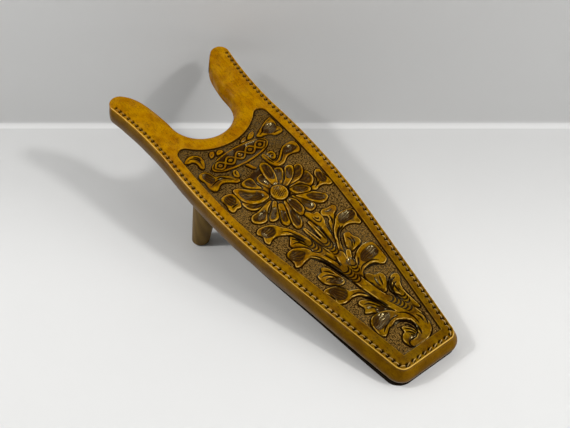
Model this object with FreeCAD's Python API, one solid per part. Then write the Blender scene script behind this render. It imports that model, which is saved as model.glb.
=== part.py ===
import FreeCAD, Part
import math
import os

# Boot jack: a forked wooden board covered in tooled leather, standing on its toe and two peg legs.
# Sizes are in millimetres and angles in degrees. The board is drawn flat first: X across it, Y from
# its toe edge to its prongs, and Z = 0 on the top leather. The finished jack is then tipped onto the
# floor, with its origin in the middle of its footprint.

# Outline of the covered board, given for its right half
toe_half_width = 26.0
toe_corner_radius = 8.0
straight_end_y = 117.0
straight_end_half_width = 45.7
hip_end_y = 238.0
hip_end_half_width = 52.9
flare_end_y = 322.0
flare_end_half_width = 59.4

# Heel notch between the prongs
notch_radius = 27.0
notch_centre_y = 274.0
flank_radius = 84.0
flank_lean = 22.0
shoulder_radius = 41.0
prong_tip_radius = 8.2
seam_lean = 35.0
seam_gap = 0.4

# Layers, from the top down
leather_thickness = 2.2
core_thickness = 16.0
sole_thickness = 1.8
sole_inset = 1.2
roll_radius = 6.0
band_edge_radius = 1.2

# Tooled panel, pressed below the plain border
panel_border = 9.8
panel_depth = 0.7
panel_arch_radius = 44.0
panel_to_notch = 15.0
panel_corner_radius = 6.0

# Stitching along both sides and the toe
stitch_inset = 2.9
stitch_pitch = 5.08
stitch_end_y = 313.0
stitch_hole_gap = 0.7
thread_diameter = 1.0
groove_width = 1.4
groove_depth = 0.7
thread_clearance = 0.05

# Stance
incline = 14.0
toe_flat_width = 6.0

# Peg legs
leg_y = 209.0
leg_inset = 12.9
leg_splay = 6.0
leg_top_diameter = 21.0
leg_foot_diameter = 14.0
leg_foot_rounding = 2.5
tenon_diameter = 12.0
tenon_length = 9.0
tenon_clearance = 0.05
sole_hole_clearance = 0.3

# Screws that hold the legs, hidden under the top leather
screw_length = 38.0
screw_diameter = 4.0
screw_tip_length = 5.0
screw_head_diameter = 8.0
screw_head_height = 2.4
screw_head_sink = 0.8
screw_clearance = 0.1

# Blanks and cutting tools reach this far past what they trim
reach = 400.0
overshoot = 5.0

core_top = -leather_thickness
core_bottom = core_top - core_thickness
sole_bottom = core_bottom - sole_thickness
notch_bottom_y = notch_centre_y - notch_radius


def point(x, y, z=0.0):
    return FreeCAD.Vector(x, y, z)


def mirrored(shape):
    return shape.mirror(point(0, 0), point(1, 0))


def toward(origin, target, distance):
    """The point that lies the given distance from origin, on the way to target."""
    return origin + (target - origin).normalize() * distance


def polar(centre, radius, angle):
    angle = math.radians(angle)
    return centre + point(radius * math.cos(angle), radius * math.sin(angle))


def arc_about(centre, start, end):
    """Arc of less than half a turn about a known centre."""
    middle = toward(centre, (start + end) * 0.5, (start - centre).Length)
    return Part.Arc(start, middle, end).toShape()


def tangent_arc(start, direction, end):
    """Arc that leaves start along a unit direction and reaches end: its edge, centre and end direction."""
    chord = end - start
    normal = point(-direction.y, direction.x)
    centre = start + normal * (chord.dot(chord) / (2 * chord.dot(normal)))
    along = FreeCAD.Vector(chord).normalize()
    end_direction = along * (2 * direction.dot(along)) - direction
    return arc_about(centre, start, end), centre, end_direction


def where_circles_meet(first, first_radius, second, second_radius):
    """The meeting point of two circles that lies nearer the prong tips."""
    gap = (second - first).Length
    along = (first_radius ** 2 - second_radius ** 2 + gap ** 2) / (2 * gap)
    off = math.sqrt(first_radius ** 2 - along ** 2)
    foot = toward(first, second, along)
    across = (foot - first).normalize().cross(point(0, 0, 1)) * off
    return max(foot + across, foot - across, key=lambda spot: spot.y)


# Points that the outline and the notch share
straight_start = point(toe_half_width, 0)
straight_end = point(straight_end_half_width, straight_end_y)
hip_end = point(hip_end_half_width, hip_end_y)
flare_end = point(flare_end_half_width, flare_end_y)
notch_centre = point(0, notch_centre_y)
flank_start = point(notch_radius, notch_centre_y)
flank_centre = point(notch_radius + flank_radius, notch_centre_y)
flank_end = polar(flank_centre, flank_radius, 180 - flank_lean)
shoulder_centre = polar(flank_end, shoulder_radius, -flank_lean)
seam = polar(shoulder_centre, shoulder_radius, 180 - seam_lean)


def toe_corner():
    """The rounded toe corner, and where it leaves the toe and joins the straight side."""
    along = (straight_end - straight_start).normalize()
    lean = math.atan2(along.x, along.y)
    run = toe_corner_radius * (1 - math.sin(lean)) / math.cos(lean)
    side_point = straight_start + along * run
    centre = side_point + point(-along.y, along.x) * toe_corner_radius
    toe_point = point(centre.x, 0)
    return arc_about(centre, toe_point, side_point), toe_point, side_point


def side_edges():
    """Edges of the right side from the middle of the toe to the flare, the last one an open arc."""
    corner, toe_point, side_point = toe_corner()
    toe = Part.LineSegment(point(0, 0), toe_point).toShape()
    straight = Part.LineSegment(side_point, straight_end).toShape()
    hip, _, direction = tangent_arc(straight_end, (straight_end - side_point).normalize(), hip_end)
    _, flare_centre, _ = tangent_arc(hip_end, direction, flare_end)
    return [toe, corner, straight, hip], flare_centre


def half_outline():
    """The right half of the outline, from the middle of the toe to the bottom of the notch."""
    edges, flare_centre = side_edges()
    flare_radius = (hip_end - flare_centre).Length
    tip_offset = prong_tip_radius if flare_centre.x > hip_end.x else -prong_tip_radius
    tip_centre = where_circles_meet(flare_centre, flare_radius + tip_offset,
                                    shoulder_centre, shoulder_radius - prong_tip_radius)
    tip_outside = toward(flare_centre, tip_centre, flare_radius)
    tip_inside = toward(shoulder_centre, tip_centre, shoulder_radius)
    edges.append(arc_about(flare_centre, hip_end, tip_outside))
    edges.append(arc_about(tip_centre, tip_outside, tip_inside))
    edges.append(arc_about(shoulder_centre, tip_inside, flank_end))
    edges.append(arc_about(flank_centre, flank_end, flank_start))
    edges.append(arc_about(notch_centre, flank_start, point(0, notch_bottom_y)))
    return edges


def joined(edges):
    return Part.Wire(Part.__sortEdges__(edges))


def whole(half_edges):
    """Closed wire of the half edges and their mirror images."""
    return joined(half_edges + [mirrored(edge) for edge in half_edges])


board_outline = whole(half_outline())


def inset_outline(inset):
    return board_outline.makeOffset2D(-inset) if inset else board_outline


def slab(wire, top, bottom):
    """Flat piece with the given outline between two heights."""
    face = Part.Face(wire)
    face.translate(point(0, 0, top))
    return face.extrude(point(0, 0, bottom - top))


def prism(corners, top, bottom):
    return slab(Part.makePolygon(corners + corners[:1]), top, bottom)


def mirrored_corners(corners):
    """Closed loop of corners: the right-hand ones, then their mirror images in reverse."""
    return corners + [point(-corner.x, corner.y) for corner in reversed(corners)]


def edge_rounder(centre, radius, solid_side, angles, top, rounding):
    """Cutter that rounds a curved top edge. solid_side is 1 where the board lies inside the curve."""
    inner = radius - solid_side * rounding
    outer = radius + solid_side * overshoot
    low = top - rounding
    middle = rounding * math.sqrt(0.5)
    curve = Part.Arc(point(inner, 0, top), point(inner + solid_side * middle, 0, low + middle),
                     point(radius, 0, low)).toShape()
    rest = Part.makePolygon([point(radius, 0, low), point(outer, 0, low), point(outer, 0, top + overshoot),
                             point(inner, 0, top + overshoot), point(inner, 0, top)])
    profile = Part.Face(joined([curve] + rest.Edges))
    profile.rotate(point(0, 0), point(0, 0, 1), angles[0])
    profile.translate(centre)
    return profile.revolve(centre, point(0, 0, 1), angles[1] - angles[0])


def notch_rounders(inset, top, rounding):
    """Cutters that round the top edge of the notch from one seam to the other."""
    right = [edge_rounder(flank_centre, flank_radius - inset, 1, (180 - flank_lean, 180), top, rounding),
             edge_rounder(shoulder_centre, shoulder_radius - inset, 1, (180 - seam_lean, 180 - flank_lean),
                          top, rounding)]
    curve = edge_rounder(notch_centre, notch_radius + inset, -1, (180, 360), top, rounding)
    return [curve] + right + [mirrored(cutter) for cutter in right]


def plain_core():
    """Wooden board before it is bored for the legs, with its notch edge eased for the leather."""
    core = slab(inset_outline(leather_thickness), core_top, core_bottom)
    return core.cut(notch_rounders(leather_thickness, core_top, roll_radius - leather_thickness))


def notch_zone(half_gap):
    """Everything on the notch side of the two seams, where the top leather is turned down."""
    outward = (seam - shoulder_centre).normalize()
    aside = point(outward.y, -outward.x) * half_gap
    behind_notch = notch_bottom_y - 2 * roll_radius
    prong_middle = (notch_radius + hip_end_half_width) / 2
    corners = [seam + outward * roll_radius + aside, seam - outward * roll_radius + aside,
               point(prong_middle, notch_centre_y), point(prong_middle, behind_notch)]
    return prism(mirrored_corners(corners), core_top, core_bottom)


def band_space(half_gap):
    """Everything below the top leather, apart from the notch side of the seams."""
    below = prism(mirrored_corners([point(reach, -reach), point(reach, 2 * reach)]), core_top, core_bottom)
    return below.cut(notch_zone(half_gap))


def leather_skin():
    """Top leather and side band together, as one shell round the core."""
    body = slab(board_outline, 0, core_bottom).cut(notch_rounders(0, 0, roll_radius))
    return body.cut(plain_core())


def panel_recess():
    """Shallow pocket of the tooled panel, arched where it runs below the notch."""
    edges, flare_centre = side_edges()
    flare = arc_about(flare_centre, hip_end, toward(flare_centre, flare_end, (hip_end - flare_centre).Length))
    end = flare.Vertexes[-1].Point
    across = Part.LineSegment(end, point(0, end.y)).toShape()
    area = whole(edges + [flare, across]).makeOffset2D(-panel_border)
    arch = Part.makeCylinder(panel_arch_radius, 2 * overshoot,
                             point(0, notch_bottom_y - panel_to_notch + panel_arch_radius, -overshoot))
    pocket = slab(area, 0, -panel_depth).cut(arch)
    pocket = min(pocket.Solids, key=lambda solid: solid.BoundBox.YMin)
    upright = [edge for edge in pocket.Edges
               if edge.Length < panel_depth * 1.01 and edge.BoundBox.YMin > hip_end_y - 2 * panel_border]
    return pocket.makeFillet(panel_corner_radius, upright)


def stitched_zone(top, bottom):
    """Both sides and the toe, as far up the prongs as the stitching runs."""
    prong_middle = (notch_radius + hip_end_half_width) / 2
    tip_middle = (seam.x + flare_end_half_width) / 2
    inside = [point(prong_middle, notch_bottom_y - 2 * roll_radius), point(tip_middle, stitch_end_y + overshoot)]
    length = stitch_end_y + overshoot
    around = Part.makeBox(reach, length, top - bottom, point(-reach / 2, -overshoot, bottom))
    return around.cut(prism(mirrored_corners(inside), top, bottom))


def stitch_groove():
    outer = slab(inset_outline(stitch_inset - groove_width / 2), overshoot, -groove_depth)
    inner = slab(inset_outline(stitch_inset + groove_width / 2), overshoot, -groove_depth)
    return outer.cut(inner).common(stitched_zone(overshoot, -groove_depth))


def stitch(start, end):
    """One visible stitch: a round-ended length of thread between two holes."""
    radius = thread_diameter / 2
    length = (end - start).Length
    first = point(stitch_hole_gap, 0)
    last = point(length - stitch_hole_gap, 0)
    first_side = first + point(radius, radius)
    last_side = last + point(-radius, radius)
    profile = Part.Face(joined([arc_about(first + point(radius, 0), first, first_side),
                                Part.LineSegment(first_side, last_side).toShape(),
                                arc_about(last - point(radius, 0), last_side, last),
                                Part.LineSegment(last, first).toShape()]))
    thread = profile.revolve(point(0, 0), point(1, 0), 360)
    thread.Placement = FreeCAD.Placement(start, FreeCAD.Rotation(point(1, 0), end - start))
    return thread


def make_edge_stitching():
    line = inset_outline(stitch_inset).common(stitched_zone(overshoot, -overshoot))
    path = joined(line.Edges)
    path.translate(point(0, 0, thread_diameter / 2 + thread_clearance - groove_depth))
    holes = path.discretize(Number=round(path.Length / stitch_pitch) + 1)
    return Part.makeCompound([stitch(start, end) for start, end in zip(holes, holes[1:])])


def make_top_cover():
    cover = leather_skin().cut([stitch_groove(), panel_recess()])
    return cover.cut(band_space(-seam_gap / 2)).Solids[0]


def make_side_band():
    """Strip of leather round the sides, toe and prong tips, its lower edge rounded off."""
    band = leather_skin().common(band_space(seam_gap / 2)).Solids[0]
    outside = slab(inset_outline(leather_thickness / 2), core_top, core_bottom - overshoot)
    lower = [edge for edge in band.Edges
             if edge.BoundBox.ZMax < core_bottom + 0.01 and edge.cut(outside).Edges
             and edge.Length > leather_thickness * 1.5]
    return band.makeFillet(band_edge_radius, lower)


def floor_height():
    """Height of the floor above the flat board's origin once the board is tipped by the incline."""
    tip = math.radians(incline)
    toe_edge = sole_inset * math.sin(tip) + sole_bottom * math.cos(tip)
    return toe_edge + toe_flat_width * math.sin(tip) * math.cos(tip)


def tipped(shape, angle):
    """Turned about the toe's top edge, so that a positive angle lifts the prongs."""
    turned = shape.copy()
    turned.rotate(point(0, 0), point(1, 0), angle)
    return turned


def below_floor():
    block = Part.makeBox(reach, 2 * reach, reach, point(-reach / 2, -reach, floor_height() - reach))
    return tipped(block, -incline)


def leg_axis():
    """Unit direction of the right leg's axis, from the board down to the floor."""
    splay = math.radians(leg_splay)
    return point(math.sin(splay), 0, -math.cos(splay))


def leg_top():
    return point(hip_end_half_width - leg_inset, leg_y, core_bottom)


def leg_length():
    """Length along the leg's axis from the underside of the core to the floor."""
    tip = math.radians(incline)
    up = point(0, math.sin(tip), math.cos(tip))
    return (floor_height() - up.dot(leg_top())) / up.dot(leg_axis())


def rod(radius, start, end):
    """Round bar on the right leg's axis, between two distances below the underside of the core."""
    return Part.makeCylinder(radius, end - start, leg_top() + leg_axis() * start, leg_axis())


def taper(start_radius, end_radius, start, end):
    """Cone on the right leg's axis, between two distances below the underside of the core."""
    return Part.makeCone(start_radius, end_radius, end - start, leg_top() + leg_axis() * start, leg_axis())


def leg_radius(distance):
    share = distance / leg_length()
    return (leg_top_diameter + (leg_foot_diameter - leg_top_diameter) * share) / 2


def leg_peg(extra_radius=0.0):
    """Tapered peg without its tenon, run past both the board and the floor."""
    start, end = -overshoot, leg_length() + overshoot
    return taper(leg_radius(start) + extra_radius, leg_radius(end) + extra_radius, start, end)


def screw_head_start():
    """Where the top of the screw's head lies on the leg's axis, as a distance below the core's underside."""
    return screw_head_sink - core_thickness / math.cos(math.radians(leg_splay))


def make_screw(extra_radius=0.0, head_room=0.0):
    """Countersunk wood screw. The extras turn it into the cutter for its own hole."""
    top = screw_head_start()
    neck = top + screw_head_height
    tip = top + screw_length
    shank = screw_diameter / 2 + extra_radius
    head = taper(screw_head_diameter / 2 + extra_radius, shank, top, neck)
    point_cone = taper(shank, shank / 4, tip - screw_tip_length, tip + extra_radius)
    screw = head.fuse([rod(shank, neck, tip - screw_tip_length), point_cone])
    if head_room:
        screw = screw.fuse(rod(screw_head_diameter / 2 + extra_radius, top - head_room, top))
    return screw.removeSplitter()


def screw_hole():
    return make_screw(screw_clearance, overshoot)


def make_leg():
    """Right leg: a tapered peg cut flat at the board and the floor, with a tenon on its top."""
    board = Part.makeBox(reach, reach, reach, point(-reach / 2, 0, core_bottom))
    peg = leg_peg().cut([board, below_floor()])
    foot = min(peg.Faces, key=lambda face: tipped(face, incline).BoundBox.ZMax)
    peg = peg.makeFillet(leg_foot_rounding, foot.Edges)
    tenon = rod(tenon_diameter / 2, -tenon_length, tenon_diameter)
    return peg.fuse(tenon).removeSplitter().cut(screw_hole())


def make_core_board():
    """Wooden board with a blind socket and a screw hole for each leg."""
    socket = rod(tenon_diameter / 2 + tenon_clearance, -tenon_length - tenon_clearance, overshoot)
    bores = [socket, screw_hole()]
    return plain_core().cut(bores + [mirrored(bore) for bore in bores])


def make_bottom_cover():
    """Sole under the core, holed for the legs and bevelled at the toe so that it lies flat there."""
    hole = leg_peg(sole_hole_clearance)
    sole = slab(inset_outline(sole_inset), core_bottom, sole_bottom)
    return sole.cut([below_floor(), hole, mirrored(hole)])


def pair(shape):
    return Part.makeCompound([shape, mirrored(shape)])


def make_pieces():
    """Every piece of the jack, as it lies with the board drawn flat."""
    leg = make_leg()
    return {
        "core_board": make_core_board(),
        "top_cover": make_top_cover(),
        "side_band": make_side_band(),
        "bottom_cover": make_bottom_cover(),
        "right_leg": leg,
        "left_leg": mirrored(leg),
        "leg_screws": pair(make_screw()),
        "edge_stitching": make_edge_stitching(),
    }


def stood_on_floor(pieces):
    """Tips the flat pieces onto the floor and centres them over the origin."""
    standing = {name: tipped(shape, incline) for name, shape in pieces.items()}
    bounds = Part.makeCompound(list(standing.values())).optimalBoundingBox(False)
    shift = point(0, -(bounds.YMin + bounds.YMax) / 2, -floor_height())
    for shape in standing.values():
        shape.translate(shift)
    return standing


os.makedirs("parts", exist_ok=True)
for node, piece in stood_on_floor(make_pieces()).items():
    piece.exportStep("parts/" + node + ".step")
    print(node, len(piece.Solids), "solids, volume", round(piece.Volume), "mm3, valid", piece.isValid())
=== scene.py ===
import cmath
import math
import bmesh
import bpy
import numpy as np
from mathutils import Matrix, Vector


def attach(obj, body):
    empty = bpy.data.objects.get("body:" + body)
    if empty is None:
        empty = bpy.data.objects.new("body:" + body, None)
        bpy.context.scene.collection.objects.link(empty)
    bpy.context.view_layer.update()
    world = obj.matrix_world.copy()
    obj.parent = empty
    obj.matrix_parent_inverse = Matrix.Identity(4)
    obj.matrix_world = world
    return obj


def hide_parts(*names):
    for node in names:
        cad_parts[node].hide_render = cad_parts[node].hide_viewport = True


# Boot jack: a forked board covered in tooled leather, standing on its toe and two peg legs.
# Sizes are in millimetres with the board drawn flat, as in the CAD model. A spot on the flat board is
# one complex number, across + along * 1j, measured from the middle of the toe, and a height is
# measured from the top leather. from_board() carries finished points into the frame, in metres.

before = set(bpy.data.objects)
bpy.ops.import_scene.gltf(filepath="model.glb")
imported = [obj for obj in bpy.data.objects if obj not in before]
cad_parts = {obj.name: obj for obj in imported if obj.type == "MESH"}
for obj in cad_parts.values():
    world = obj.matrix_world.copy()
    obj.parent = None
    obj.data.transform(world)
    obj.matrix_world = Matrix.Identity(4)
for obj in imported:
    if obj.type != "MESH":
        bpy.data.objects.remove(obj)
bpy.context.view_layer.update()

MM = 0.001

# Outline of the covered board, given for its right half
TOE_HALF_WIDTH = 26.0
TOE_CORNER_RADIUS = 8.0
STRAIGHT_END = 45.7 + 117.0j
HIP_END = 52.9 + 238.0j
FLARE_END = 59.4 + 322.0j
NOTCH_RADIUS = 27.0
NOTCH_CENTRE = 274.0j
FLANK_RADIUS = 84.0
FLANK_LEAN = 22.0
SHOULDER_RADIUS = 41.0
TIP_RADIUS = 8.2
SEAM_LEAN = 35.0

# Layers and slope of the board
LEATHER = 2.2
BOARD_THICKNESS = 16.0
BOARD_BOTTOM = -LEATHER - BOARD_THICKNESS
INCLINE = math.radians(14.0)

# Tooled panel
PANEL_BORDER = 9.8
ARCH_RADIUS = 44.0
PANEL_TO_NOTCH = 15.0
PANEL_CORNER_RADIUS = 6.0
PANEL_SHIFT = 1.4
SHIFT_KEPT_TO = 50
SHIFT_FADE = 110

# Stitching
STITCH_INSET = 2.9
STITCH_PITCH = 5.08
STITCH_END = 313.0
GROOVE_DEPTH = 0.35
GROOVE_HALF_WIDTH = 1.1
HOLE_RADIUS = 1.6
HOLE_DEPTH = 1.8
THREAD_DIAMETER = 1.0

# Edges
EDGE_ROUNDING = 0.9
TOE_ROUNDING = 1.4
TOE_FADE = 50.0
ROLL_RADIUS = 8.5
UNDER_ROLL_RADIUS = 7.0
ROLL_FADE = 42.0
BAND_ROUNDING = 2.4
SIDE_BULGE = 0.5
TOE_BULGE = 4.0
BULGE_FADE = 110.0
SOLE = 1.8
SOLE_INSET = 2.0
SOLE_STEP_START = 90
SOLE_STEP_FADE = 70
SOLE_GAP = 0.05
SOLE_CHAMFER = 0.3
SIDE_SOLE_INSET = 0.2
TOE_SOLE_INSET = -3.0
TOE_LIFT = 2.0

# Width of the strip that holds the stitches, and the spacing of points on fine paths
EDGE_STRIP = 4.5
FINE = 0.2


def toe_edge():
    """The toe's top edge in the frame: the foremost point of the top leather."""
    return min((v.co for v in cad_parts["top_cover"].data.vertices), key=lambda spot: spot.y)


TOE_Y, TOE_Z = toe_edge().y, toe_edge().z


def from_board(spots, heights):
    """Points on the flat board as rows of x, y and z in the frame."""
    spots, heights = np.broadcast_arrays(np.asarray(spots, complex), np.asarray(heights, float))
    along, up = spots.imag * MM, heights * MM
    return np.stack([spots.real * MM,
                     TOE_Y + along * math.cos(INCLINE) - up * math.sin(INCLINE),
                     TOE_Z + along * math.sin(INCLINE) + up * math.cos(INCLINE)], axis=-1)


# ---- Plane geometry -----------------------------------------------------------------------------

def unit(way):
    return way / abs(way)


def line(start, end):
    return start + (end - start) * np.linspace(0, 1, max(2, int(abs(end - start) / FINE) + 1))


def arc(centre, start, end):
    """Points of the shorter arc from start to end about its centre."""
    turn = cmath.phase((end - centre) / (start - centre))
    count = max(2, int(abs(turn * (start - centre)) / FINE) + 1)
    return centre + (start - centre) * np.exp(1j * turn * np.linspace(0, 1, count))


def tangent_centre(start, direction, end):
    """Centre of the arc that leaves start along a unit direction and reaches end."""
    chord = end - start
    normal = direction * 1j
    return start + normal * abs(chord) ** 2 / (2 * (chord * normal.conjugate()).real)


def circles_meet(first, first_radius, second, second_radius):
    """The two points where two circles meet, the one nearer the toe first."""
    gap = abs(second - first)
    along = (first_radius ** 2 - second_radius ** 2 + gap ** 2) / (2 * gap)
    off = math.sqrt(first_radius ** 2 - along ** 2)
    way = unit(second - first)
    spots = (first + way * (along + off * 1j), first + way * (along - off * 1j))
    return sorted(spots, key=lambda spot: spot.imag)


def joined(pieces):
    """One path from pieces that meet end to end."""
    return np.concatenate([pieces[0]] + [piece[1:] for piece in pieces[1:]])


def lengths(path):
    """Distance along a path up to each of its points."""
    return np.concatenate([[0], np.cumsum(np.abs(np.diff(path)))])


def at_length(path, distance):
    """Points of a path at distances along it."""
    run = lengths(path)
    return np.interp(distance, run, path.real) + 1j * np.interp(distance, run, path.imag)


def ease(value):
    """Smooth step from 0 to 1."""
    value = np.clip(value, 0, 1)
    return value * value * (3 - 2 * value)


def hump(value, middle, spread):
    """Rounded bump that is 1 at the middle and fades to both sides."""
    return np.exp(-((value - middle) / spread) ** 2)


def distance_to(spots, path):
    """Distance from each spot to a path."""
    best = np.full(spots.shape, np.inf)
    for start, end in zip(path, path[1:]):
        step = end - start
        share = np.clip(((spots - start) * np.conj(step)).real / max(abs(step) ** 2, 1e-12), 0, 1)
        best = np.minimum(best, np.abs(spots - start - share * step))
    return best


RANDOM_CELLS = 64


def wander(spots, scale, seed):
    """Smooth random values from -1 to 1 that change over about scale millimetres."""
    table = np.random.default_rng(seed).random((RANDOM_CELLS, RANDOM_CELLS)) * 2 - 1
    column, row = np.floor(spots.real / scale).astype(int), np.floor(spots.imag / scale).astype(int)
    across, along = ease(spots.real / scale - column), ease(spots.imag / scale - row)

    def corner(right, up):
        return table[(row + up) % RANDOM_CELLS, (column + right) % RANDOM_CELLS]

    low = corner(0, 0) * (1 - across) + corner(1, 0) * across
    high = corner(0, 1) * (1 - across) + corner(1, 1) * across
    return low * (1 - along) + high * along


# ---- Outline, stitch line and panel edge --------------------------------------------------------

class Outline:
    """The right half of the board's outline, from the middle of the toe to the bottom of the notch."""

    def __init__(self):
        way = unit(STRAIGHT_END - TOE_HALF_WIDTH)
        lean = math.atan2(way.real, way.imag)
        side = TOE_HALF_WIDTH + way * TOE_CORNER_RADIUS * (1 - math.sin(lean)) / math.cos(lean)
        corner = side + way * 1j * TOE_CORNER_RADIUS
        toe_end = complex(corner.real, 0)
        hip_centre = tangent_centre(STRAIGHT_END, way, HIP_END)
        hip_way = unit(HIP_END - STRAIGHT_END) ** 2 * way.conjugate()
        self.flare_centre = tangent_centre(HIP_END, hip_way, FLARE_END)
        self.flare_radius = abs(HIP_END - self.flare_centre)
        flank_start = NOTCH_CENTRE + NOTCH_RADIUS
        flank_centre = flank_start + FLANK_RADIUS
        flank_way = cmath.exp(1j * math.radians(180 - FLANK_LEAN))
        flank_end = flank_centre + FLANK_RADIUS * flank_way
        shoulder = flank_end - SHOULDER_RADIUS * flank_way
        seam = shoulder + SHOULDER_RADIUS * cmath.exp(1j * math.radians(180 - SEAM_LEAN))
        self.tip = circles_meet(self.flare_centre, self.flare_radius + TIP_RADIUS,
                                shoulder, SHOULDER_RADIUS - TIP_RADIUS)[1]
        tip_outside = self.flare_centre + self.flare_radius * unit(self.tip - self.flare_centre)
        tip_inside = shoulder + SHOULDER_RADIUS * unit(self.tip - shoulder)
        notch_bottom = NOTCH_CENTRE - 1j * NOTCH_RADIUS
        self.path = joined([line(0j, toe_end),
                            arc(corner, toe_end, side),
                            line(side, STRAIGHT_END),
                            arc(hip_centre, STRAIGHT_END, HIP_END),
                            arc(self.flare_centre, HIP_END, tip_outside),
                            arc(self.tip, tip_outside, tip_inside),
                            arc(shoulder, tip_inside, flank_end),
                            arc(flank_centre, flank_end, flank_start),
                            arc(NOTCH_CENTRE, flank_start, notch_bottom)])
        self.run = lengths(self.path)
        steps = np.gradient(self.path)
        self.inward = steps / np.abs(steps) * 1j
        self.inward[0], self.inward[-1] = 1j, -1j
        self.length = self.run[-1]
        self.side_start = self.where(side)
        self.tip_start = self.where(tip_outside)
        self.tip_end = self.where(tip_inside)
        self.seam = self.where(seam)
        self.flank_start = self.where(flank_start)

    def where(self, spot):
        """Distance along the outline of its point nearest to a spot."""
        return self.run[np.argmin(np.abs(self.path - spot))]

    def point(self, distance):
        """Point of the outline at a distance along it."""
        return at_length(self.path, distance)

    def normal(self, distance):
        """Unit direction into the board."""
        across = np.interp(distance, self.run, self.inward.real)
        way = across + 1j * np.interp(distance, self.run, self.inward.imag)
        return way / np.abs(way)


outline = Outline()


class StitchLine:
    """Right half of the stitch line, from the middle of the toe to its end on the prong."""

    def __init__(self):
        path = outline.path + outline.inward * STITCH_INSET
        keep = (outline.run <= outline.tip_start) & (path.imag <= STITCH_END)
        self.path, self.outline_run = path[keep], outline.run[keep]
        self.length = lengths(self.path)[-1]
        self.stitches = round(self.length / STITCH_PITCH)

    def outline_distance(self, share):
        """Outline distances that belong to shares of the stitch line."""
        return np.interp(share * self.length, lengths(self.path), self.outline_run)

    def count_at(self, distance):
        """How many stitches lie between the middle of the toe and an outline distance."""
        return np.interp(distance, self.outline_run, lengths(self.path)) / self.length * self.stitches


stitch_line = StitchLine()


class PanelEdge:
    """Right half of the tooled panel's edge: the bottom, the side up to the horn, and the arch."""

    def __init__(self, margin=0.0):
        border, fillet = PANEL_BORDER - margin, PANEL_CORNER_RADIUS + margin
        arch_radius = ARCH_RADIUS - margin
        arch_centre = NOTCH_CENTRE + 1j * (ARCH_RADIUS - NOTCH_RADIUS - PANEL_TO_NOTCH)
        centre = circles_meet(outline.flare_centre, outline.flare_radius + border + fillet,
                              arch_centre, arch_radius + fillet)[0]
        side_way = unit(centre - outline.flare_centre)
        side_end = outline.flare_centre + (outline.flare_radius + border) * side_way
        arch_end = centre + fillet * unit(arch_centre - centre)
        self.horn = centre + fillet * unit(outline.tip - centre)
        self.side_end = outline.where(side_end)
        inset = outline.path + outline.inward * border
        beside = (outline.run >= outline.side_start) & (outline.run < self.side_end) & (inset.imag > border)
        first, second = inset[beside][:2]
        self.corner = first + (second - first) * (border - first.imag) / (second - first).imag
        self.bottom = line(1j * border, self.corner)
        self.lower_side = np.concatenate([[self.corner], inset[beside], [side_end]])
        self.side = joined([self.lower_side, arc(centre, side_end, self.horn)])
        self.top = joined([arc(centre, self.horn, arch_end),
                           arc(arch_centre, arch_end, arch_centre - 1j * arch_radius)])


panel_edge = PanelEdge()


def off_centre(spots):
    """Spots moved a little to the right where the panel was set off centre, most near the toe."""
    right_edge = outline.path[outline.run <= outline.tip_start]
    half_width = np.interp(np.maximum(spots.imag, PANEL_BORDER), right_edge.imag, right_edge.real)
    inside = ease((half_width - EDGE_STRIP - np.abs(spots.real)) / (PANEL_BORDER - EDGE_STRIP))
    return spots + PANEL_SHIFT * inside * (1 - ease((spots.imag - SHIFT_KEPT_TO) / SHIFT_FADE))


# ---- Meshes -------------------------------------------------------------------------------------

def mesh_object(name, points, faces, colours=None):
    """Object at the origin with the given points in the frame, faces turned outward."""
    mesh = bpy.data.meshes.new(name)
    mesh.from_pydata(points.reshape(-1, 3).tolist(), [], faces)
    if colours is not None:
        layer = mesh.attributes.new("dye", "FLOAT_COLOR", "POINT")
        layer.data.foreach_set("color", np.ascontiguousarray(colours, np.float32).ravel())
    thing = bpy.data.objects.new(name, mesh)
    bpy.context.scene.collection.objects.link(thing)
    tidy_mesh(mesh)
    return thing


MERGE_GAP = 1e-7
CREASE = math.radians(40)


def tidy_mesh(mesh):
    """Merges doubled points, drops faces without area, turns faces outward and smooths the shading."""
    draft = bmesh.new()
    draft.from_mesh(mesh)
    bmesh.ops.remove_doubles(draft, verts=draft.verts, dist=MERGE_GAP)
    bmesh.ops.dissolve_degenerate(draft, edges=draft.edges, dist=MERGE_GAP)
    bmesh.ops.recalc_face_normals(draft, faces=draft.faces)
    draft.to_mesh(mesh)
    draft.free()
    mesh.shade_smooth()
    mesh.set_sharp_from_angle(angle=CREASE)


def grid_faces(rows, columns, loop_rows=False, loop_columns=False):
    """Quads of a grid of points that are numbered row by row."""
    faces = []
    for row in range(rows if loop_rows else rows - 1):
        here, there = row * columns, (row + 1) % rows * columns
        for column in range(columns if loop_columns else columns - 1):
            beside = (column + 1) % columns
            faces.append((here + column, here + beside, there + beside, there + column))
    return faces


# Tone of the plain leather, and of raw edges and undersides
PLAIN_TONE = 0.8
RAW_TONE = 0.2


def dye_and_light_values(tone, matted, cut):
    """Colour values that say how light, with painted shade and highlights, how matted and how cut each point
    is.
    """
    return np.stack(np.broadcast_arrays(tone, matted, cut, 1.0), -1)


class Sections:
    """Closed cross-sections at stations along the right half outline, built up column by column."""

    def __init__(self):
        self.spots, self.heights, self.dyes_and_painted_light = [], [], []

    def add(self, spots, heights, tone, cut=0.0):
        self.spots.append(spots)
        self.heights.append(np.broadcast_to(heights, spots.shape))
        self.dyes_and_painted_light.append(dye_and_light_values(np.broadcast_to(tone, spots.shape), 0.0, cut))

    def both_sides(self):
        """Points and dye values, with their painted shade and highlights, of the right half followed by its
        mirror image in reverse.
        """
        spots, heights, dyes_and_painted_light = (np.stack(part, 1) for part in (self.spots, self.heights, self.dyes_and_painted_light))
        spots = off_centre(np.concatenate([spots, -spots[::-1].conj()]))
        heights, dyes_and_painted_light = np.concatenate([heights, heights[::-1]]), np.concatenate([dyes_and_painted_light, dyes_and_painted_light[::-1]])
        return from_board(spots, heights), dyes_and_painted_light


# ---- Plain leather: border, prongs and rolled notch edge ----------------------------------------

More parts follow.
